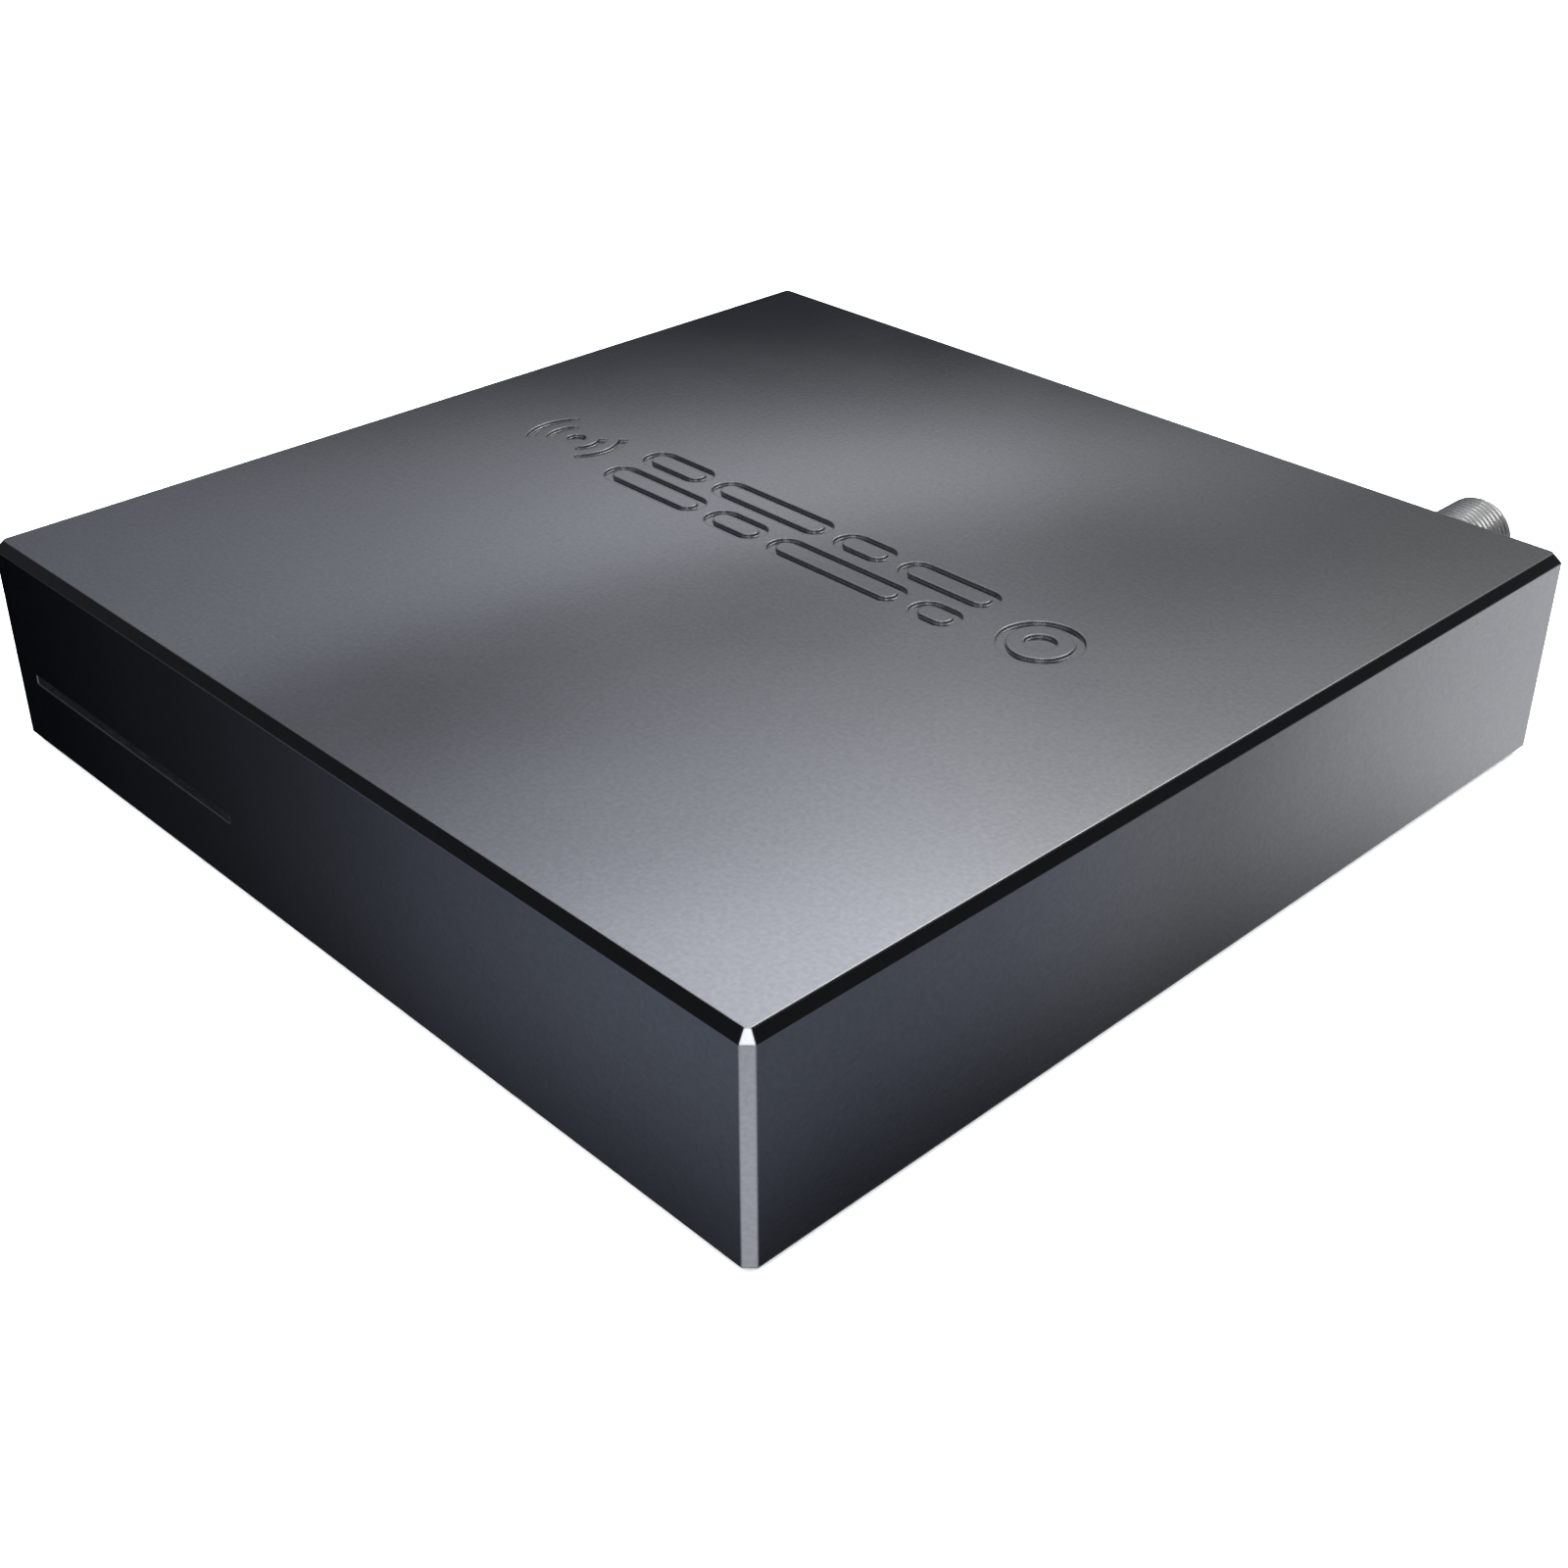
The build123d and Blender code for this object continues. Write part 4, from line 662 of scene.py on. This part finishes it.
COOL = (0.86, 0.94, 1.16)
PALE_BLUE = (0.945, 0.985, 1.07)
NEUTRAL = (0.98, 0.99, 1.02)
WARM = (1.02, 1.0, 0.95)

bpy.context.scene.world = bpy.data.worlds.new("studio")
studio = Studio(bpy.context.scene.world)
for heights, colour in (
    (((-60, 0.0), (-30, 0.0), (-14, 0.002), (8, 0.05), (40, 0.06), (58, 0.05), (76, 0.0)), COOL),
    (((40, 0.0), (60, 0.20), (74, 0.29), (90, 0.31)), NEUTRAL),
):
    studio.light(studio.curve(studio.elevation, heights), colour)

# The wall behind the object: dark at its foot, a thin bright band, then ever lighter upwards.
WALL_TILT = 0.18
WALL_AZIMUTH = 135.0
lean = studio.math("MULTIPLY", studio.math("SUBTRACT", studio.azimuth, WALL_AZIMUTH), WALL_TILT)
wall = studio.curve(
    studio.math("SUBTRACT", studio.elevation, lean),
    (
        (14, 0.70), (20, 0.75), (22, 0.82), (24.1, 1.03), (25, 0.80), (26, 0.48), (27, 0.49), (28, 0.60),
        (30, 0.90), (32, 1.20), (33, 1.36), (34, 1.65), (35, 1.90), (37, 2.2), (42, 2.4), (50, 2.4),
        (62, 0.8), (75, 0.0),
    ),
)
foot = studio.curve(
    studio.elevation,
    (
        (17, 0.0), (18.7, 0.0), (19.6, 0.03), (20.1, 0.06), (20.6, 0.11), (21.15, 0.24), (21.6, 0.42),
        (22.2, 0.66), (23, 0.93), (24, 1.0), (26, 1.0),
    ),
)
spread = studio.curve(
    studio.azimuth,
    (
        (80, 0.0), (100, 0.5), (115, 0.66), (121, 0.69), (127, 0.81), (133, 1.0), (139, 0.94), (145, 0.77),
        (148, 0.66), (151, 0.59), (157, 0.48), (165, 0.25), (175, 0.0),
    ),
)
wall = studio.math("MULTIPLY", wall, foot)
tint = studio.blend(studio.remap(studio.azimuth, (114, 128), (0, 1)), rgb(*WARM), rgb(*NEUTRAL))
tint = studio.blend(studio.remap(studio.azimuth, (128, 158), (0, 1)), tint, rgb(*PALE_BLUE))
studio.light(studio.math("MULTIPLY", wall, spread), tint)

# A paler wall round the front, which the lid and rear mirror in views from behind.
studio.wall(
    (
        (-10, 0.0), (2, 0.12), (12, 0.30), (20, 0.55), (24, 0.75), (28, 0.52), (40, 0.9), (52, 1.1),
        (66, 0.5), (80, 0.0),
    ),
    (
        (-132, 0.0), (-122, 0.4), (-108, 0.9), (-80, 0.75), (-45, 1.0), (-10, 0.7), (10, 0.9), (26, 0.4),
        (36, 0.0),
    ),
    NEUTRAL,
)

# A low wall on the other sides, which the lid mirrors in views from low down.
studio.wall(
    ((-4, 0.0), (4, 0.09), (10, 0.24), (16, 0.29), (24, 0.27), (34, 0.26), (44, 0.15), (56, 0.0)),
    (
        (-180, 0.8), (-170, 0.85), (-150, 0.9), (-130, 0.9), (-116, 0.4), (-104, 0.0), (12, 0.0), (28, 0.8),
        (42, 1.0), (64, 1.0), (90, 0.9), (100, 0.35), (108, 0.0), (162, 0.0), (171, 0.5), (180, 0.8),
    ),
    NEUTRAL,
)

# Large softbox, high on the right behind.
studio.panel(92.0, 52.0, (20.0, 12.0), (14.0, 8.0), 4.5, WARM)
# Softbox beside the camera.
studio.panel(313.0, 49.0, (11.0, 12.0), (6.0, 5.0), 3.6, NEUTRAL)
# A broad, weak patch nearly overhead, which gives the lid a gradient from above.
studio.panel(120.0, 72.0, (8.0, 6.0), (26.0, 18.0), 0.30, NEUTRAL)
# Fill on the far sides.
studio.panel(15.0, 60.0, (22.0, 10.0), (16.0, 10.0), 0.7, NEUTRAL)
studio.panel(250.0, 55.0, (22.0, 12.0), (16.0, 10.0), 0.6, COOL)

# Light that comes up off the table round the object. Degrees.
TABLE_SHIFT = (-3.0, 10.0)
TABLE_BLUR = 3.3
below = studio.remap(studio.elevation, (-4.0, 11.0), (1.0, 0.0), smooth=True)


def table_light(first_azimuth, lowest, climb, deepest, levels, colour):
    """Light off the table, with levels by azimuth. It fades downwards past the elevation lowest to a
    share of deepest, and that edge rises by climb for each degree away from first_azimuth."""
    away = studio.math("MULTIPLY", studio.math("SUBTRACT", studio.azimuth, first_azimuth), climb)
    away = studio.math("MINIMUM", studio.math("MAXIMUM", away, TABLE_SHIFT[0]), TABLE_SHIFT[1])
    above = studio.math("SUBTRACT", studio.elevation, studio.math("ADD", away, lowest))
    fade = studio.remap(above, (-TABLE_BLUR, TABLE_BLUR), (deepest, 1.0), smooth=True)
    fade = studio.math("MULTIPLY", below, fade)
    studio.light(studio.math("MULTIPLY", studio.curve(studio.azimuth, levels), fade), colour)


# On the left.
table_light(
    first_azimuth=-138.5,
    lowest=-41.7,
    climb=-0.50,
    deepest=0.18,
    levels=(
        (-180, 0.26), (-172, 0.20), (-166, 0.06), (-161.5, 0.008), (-158, 0.006), (-156.7, 0.014),
        (-155.5, 0.022), (-154.1, 0.031), (-152.6, 0.047), (-150.9, 0.072), (-149, 0.12), (-146.8, 0.195),
        (-144.4, 0.25), (-141.6, 0.31), (-138.5, 0.325), (-120, 0.32), (-60, 0.30), (-45, 0.28),
        (-30, 0.25), (-18, 0.14), (-6, 0.03), (6, 0.0),
    ),
    colour=COOL,
)
# On the right.
for levels, colour in (
    (
        (
            (-45, 0.0), (-30, 0.03), (-18, 0.14), (-6, 0.25), (6, 0.28), (25, 0.29), (43, 0.28),
            (47.4, 0.29), (50.4, 0.26), (53.1, 0.22), (56, 0.12), (59, 0.0), (145, 0.0), (163, 0.13),
            (180, 0.26),
        ),
        COOL,
    ),
    (
        (
            (46, 0.0), (47.4, 0.01), (50.4, 0.08), (53.1, 0.21), (55.5, 0.35), (57.6, 0.49), (59.3, 0.66),
            (61.1, 0.86), (62.6, 1.05), (64, 1.15), (66, 1.24), (74, 1.3), (84, 0.6), (95, 0.0),
        ),
        NEUTRAL,
    ),
):
    table_light(first_azimuth=43.9, lowest=-41.9, climb=0.53, deepest=0.10, levels=levels, colour=colour)
# Behind.
table_light(
    first_azimuth=90.0,
    lowest=-60.0,
    climb=0.0,
    deepest=0.3,
    levels=((66, 0.0), (76, 0.5), (88, 1.4), (100, 1.4), (120, 0.9), (145, 0.55), (163, 0.22), (180, 0.0)),
    colour=NEUTRAL,
)
# In front of the near corner.
studio.panel(313.0, -36.0, (22.0, 22.0), (26.0, 14.0), 1.2, NEUTRAL)
# The same light low down on the left, which the left side mirrors.
for azimuth, level in ((182.0, 0.16), (-168.0, 0.22)):
    studio.panel(azimuth, -7.0, (6.0, 4.0), (8.0, 7.0), level, COOL)
studio.finish()

# ------------------------------------------------------------------ floor, backdrop and lamps
FLOOR_SIDE = 8.0
BACKDROP_RADIUS = 3.9

bpy.ops.mesh.primitive_plane_add(size=FLOOR_SIDE)
floor = bpy.context.object
floor.name = "studio_floor"
floor.visible_glossy = False
floor_surface = Surface("studio_floor")
floor_tone = floor_surface.noise(180.0)
floor_surface.set(
    Base_Color=floor_surface.blend(floor_tone, rgb(0.90, 0.90, 0.90), rgb(0.92, 0.92, 0.92)),
    Roughness=0.9,
    Specular_IOR_Level=0.0,
)
floor.data.materials.append(floor_surface.material)

# A pale dome round the floor, which only the camera sees.
bpy.ops.mesh.primitive_uv_sphere_add(
    segments=64, ring_count=32, radius=BACKDROP_RADIUS, location=(0.0, 0.0, -0.05)
)
backdrop = bpy.context.object
backdrop.name = "studio_backdrop"
for ray in ("diffuse", "glossy", "transmission", "volume_scatter", "shadow"):
    setattr(backdrop, "visible_" + ray, False)
backdrop_surface = Surface("studio_backdrop")
backdrop_tone = backdrop_surface.noise(900.0)
glow = backdrop_surface.blend(backdrop_tone, rgb(0.99, 0.99, 0.99), rgb(1.02, 1.02, 1.02))
backdrop_surface.set(
    Base_Color=rgb(0.0, 0.0, 0.0),
    Emission_Color=glow,
    Emission_Strength=1.0,
    Specular_IOR_Level=0.0,
)
backdrop.data.materials.append(backdrop_surface.material)


def softbox(name, azimuth, elevation, distance, size, power):
    """A square lamp that lights surfaces but isn't mirrored in them."""
    lamp = bpy.data.lights.new(name, "AREA")
    lamp.shape = "SQUARE"
    lamp.size = size
    lamp.energy = power
    obj = bpy.data.objects.new(name, lamp)
    bpy.context.collection.objects.link(obj)
    obj.location = direction(azimuth, elevation) * distance
    obj.rotation_mode = "QUATERNION"
    obj.rotation_quaternion = obj.location.to_track_quat("Z", "Y")
    obj.visible_glossy = False


softbox("overhead_softbox", azimuth=120.0, elevation=86.0, distance=1.0, size=1.6, power=34.0)
for side, azimuth in (("left", 225.0), ("front", 315.0), ("right", 45.0), ("rear", 135.0)):
    softbox(side + "_softbox", azimuth, elevation=32.0, distance=1.3, size=1.0, power=12.0)

# ------------------------------------------------------------------ camera
CAMERA_PLACE = Vector((162.03, -162.51, 132.35)) * MM
CAMERA_TARGET = Vector((7.06, -13.40, -0.42)) * MM
LENS = 49.29
SENSOR_WIDTH = 36.0
CLIP_RANGE = (0.01, 30.0)

camera_data = bpy.data.cameras.new("camera")
camera_data.sensor_width = SENSOR_WIDTH
camera_data.lens = LENS
camera_data.clip_start, camera_data.clip_end = CLIP_RANGE
camera = bpy.data.objects.new("camera", camera_data)
bpy.context.collection.objects.link(camera)
camera.location = CAMERA_PLACE
camera.rotation_mode = "QUATERNION"
camera.rotation_quaternion = (CAMERA_TARGET - CAMERA_PLACE).to_track_quat("-Z", "Y")
bpy.context.scene.camera = camera
bpy.context.scene.view_settings.view_transform = "Standard"
